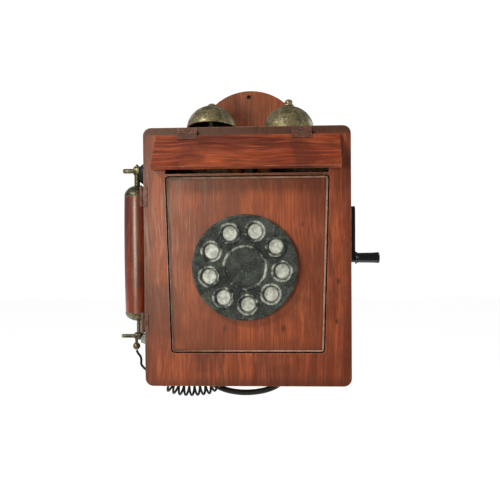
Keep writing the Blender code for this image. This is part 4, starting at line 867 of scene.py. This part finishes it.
def make_terminal_posts():
    posts = bmesh.new()
    profile = [(radius * MM, height * MM) for radius, height in POST_PROFILE]
    for x in TERMINAL_X:
        for z in (4.5, -4.5):
            add_turned(posts, profile, Vector((x - STRIP_X, z, 0)) * MM, 16)
    mesh = bpy.data.meshes.new("terminal_posts")
    bmesh.ops.recalc_face_normals(posts, faces=posts.faces)
    posts.to_mesh(mesh)
    posts.free()
    mesh.materials.append(MATERIALS["brass"])
    nuts = link("terminal_posts", mesh, Vector((STRIP_X, POST_BASE_Y, STRIP_Z)) * MM, FORWARD)
    smooth(nuts, 35)
    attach(nuts, "case")


def make_wires():
    """Each wire ends 3 mm further on, under its post's nut."""
    for index, (material, *route) in enumerate(WIRES):
        last_x, _, last_z = route[-1]
        end = (last_x, WIRE_END_Y, last_z + (3 if last_z < STRIP_Z else -3))
        points = smooth_route(route + [end], 3 * MM)
        wire = tube_mesh(f"wire_{index + 1}", points, WIRE_RADIUS, material, 8)
        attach(wire, "case")


def leaf_spots(name, pin, towards, radius):
    """Screw places along the outer face of a hinge leaf, clear of its knuckles."""
    node = NODES[name]
    world = node.matrix_world
    groups = {}
    for face in node.data.polygons:
        normal = (world.to_3x3() @ face.normal).normalized()
        if normal.dot(Vector(towards).normalized()) > 0.6:
            groups.setdefault(tuple(round(v, 1) for v in normal), []).append(face)
    faces = max(groups.values(), key=lambda group: sum(face.area for face in group))
    normal = (world.to_3x3() @ faces[0].normal).normalized()
    corners = [world @ node.data.vertices[i].co for face in faces for i in face.vertices]
    low = Vector(min(c[k] for c in corners) for k in range(3))
    high = Vector(max(c[k] for c in corners) for k in range(3))
    centre, size = (low + high) / 2, high - low
    long_axis = max(range(3), key=lambda k: size[k])
    away = centre - centre_of(pin)
    away[long_axis] = 0
    away -= away.dot(normal) * normal
    centre += away.normalized() * 1.2 * MM
    spots = []
    for share in (-0.36, 0.0, 0.36):
        spot = centre.copy()
        spot[long_axis] += share * size[long_axis]
        spots.append((spot, normal, radius))
    return spots


def make_screws(name, body, spots):
    """Domed slotted screw heads at (place, outward normal, radius)."""
    solid = bmesh.new()
    for place, normal, radius in spots:
        turn = Vector(normal).to_track_quat("Z", "X").to_matrix().to_4x4()
        before = len(solid.verts)
        profile = [(radius, -0.2 * MM), (radius, 0.12 * MM), (radius * 0.75, 0.42 * MM),
                   (radius * 0.35, 0.55 * MM), (0, 0.58 * MM)]
        add_turned(solid, profile, Vector((0, 0, 0)), 16)
        solid.verts.ensure_lookup_table()
        head = solid.verts[before:]
        for vertex in head:
            if abs(vertex.co.x) < 0.02 * radius and vertex.co.z > 0.1 * MM:
                vertex.co.z -= 0.45 * MM
        bmesh.ops.transform(solid, matrix=Matrix.Translation(place) @ turn, verts=head)
    mesh = bpy.data.meshes.new(name)
    bmesh.ops.recalc_face_normals(solid, faces=solid.faces)
    solid.to_mesh(mesh)
    solid.free()
    mesh.materials.append(MATERIALS["screw"])
    heads = link(name, mesh)
    smooth(heads, 45)
    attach(heads, body)


# Screws through the sides into the top and bottom boards, through the backboard, and round the crank's
# bush, in millimetres but for the radius
SIDE_X = 130.4
WOOD_SCREW_RADIUS = 2.2 * MM
BUSH_FLANGE, BUSH_SCREW_CIRCLE = (133.05, -62, 57), 10.4


def make_all_screws():
    on_case, on_door, on_lid = [], [], []
    for level in ("upper", "lower"):
        stem = f"door_hinge_{level}_"
        on_case += leaf_spots(stem + "case_leaf", stem + "pin", (-1, 0, 0), 1.3 * MM)
        on_door += leaf_spots(stem + "door_leaf", stem + "pin", (0, -1, 0), 1.0 * MM)
    for side in ("left", "right"):
        stem = f"lid_hinge_{side}_"
        on_door += leaf_spots(stem + "board_leaf", stem + "pin", (0, -1, 0), 0.9 * MM)
        on_lid += leaf_spots(stem + "lid_leaf", stem + "pin", (0, -1, 0.5), 0.9 * MM)
    for sign in (-1, 1):
        for z in (-149, 149):
            for y in (-92, -30):
                on_case.append((Vector((sign * SIDE_X, y, z)) * MM, (sign, 0, 0), WOOD_SCREW_RADIUS))
    for x in (-120, 120):
        for z in (-140, -45, 50, 140):
            on_case.append((Vector((x, -0.1, z)) * MM, (0, 1, 0), WOOD_SCREW_RADIUS))
    for angle in (20, 100, 180, 260):
        around = Vector((0, math.cos(math.radians(angle)), math.sin(math.radians(angle))))
        spot = (Vector(BUSH_FLANGE) + BUSH_SCREW_CIRCLE * around) * MM
        on_case.append((spot, (1, 0, 0), 1.3 * MM))
    make_screws("screws_case", "case", on_case)
    make_screws("screws_door", "door", on_door)
    make_screws("screws_lid", "lid", on_lid)


# ---------------------------------------------------------------- all
make_camera()
MATERIALS = make_materials()
make_handset_cord()
make_line_cable()
make_world()
make_lights()
make_floor()
make_dial()
make_bell("left", 166 * MM, 12)
make_bell("right", 164 * MM, 0)
make_terminal_strip()
make_terminal_posts()
make_wires()
make_all_screws()

dress(["door_board"], "door_wood", 1.3 * MM)
dress(["door_panel"], "panel_wood", 0.9 * MM)
dress(["lid_board"], "lid_wood", 0.9 * MM)
dress(["lid_cheek_left", "lid_cheek_right"], "case_wood")
dress(["backboard"], "arch_wood", 1.2 * MM)
dress(["side_left", "side_right"], "case_wood", 0.4 * MM)
dress(["top_board", "bottom_board"], "flat_wood", 0.4 * MM)
dress([n for n in NODES if "_hinge_" in n and not n.endswith("pin")], "hinge", 0.15 * MM, 1)
dress([n for n in NODES if n.endswith("_pin")], "iron")
dress(["gong_nut_left", "gong_nut_right"], "bell_brass")
dress(["gong_post_left", "gong_post_right", "door_catch", "magneto_armature"], "steel")
dress(["ringer_yoke", "ringer_clapper", "magneto_frame", "magneto_magnet_1", "magneto_magnet_2",
       "hook_bracket"], "iron", 0.4 * MM, 2)
dress(["crank_arm"], "crank_black", 0.4 * MM, 2)
dress(["ringer_coil_left", "ringer_coil_right"], "ringer_winding")
dress(["induction_coil"], "coil_winding")
dress(["dial_number_plate"], "silver")
dress(["dial_shaft", "dial_governor", "crank_bush", "crank_shaft", "hook_lever", "rest_fork"], "brass")
dress(["handset_handle"], "handle_wood")
dress(["handset_end_upper", "handset_end_lower"], "brass")
dress(["handset_receiver"], "black_satin")
dress(["handset_transmitter"], "zinc")
dress(["crank_knob"], "black_gloss")
dress(["dry_cell"], "cell_jacket", 0.6 * MM, 2)
dress(["cord_gland"], "red_gland")
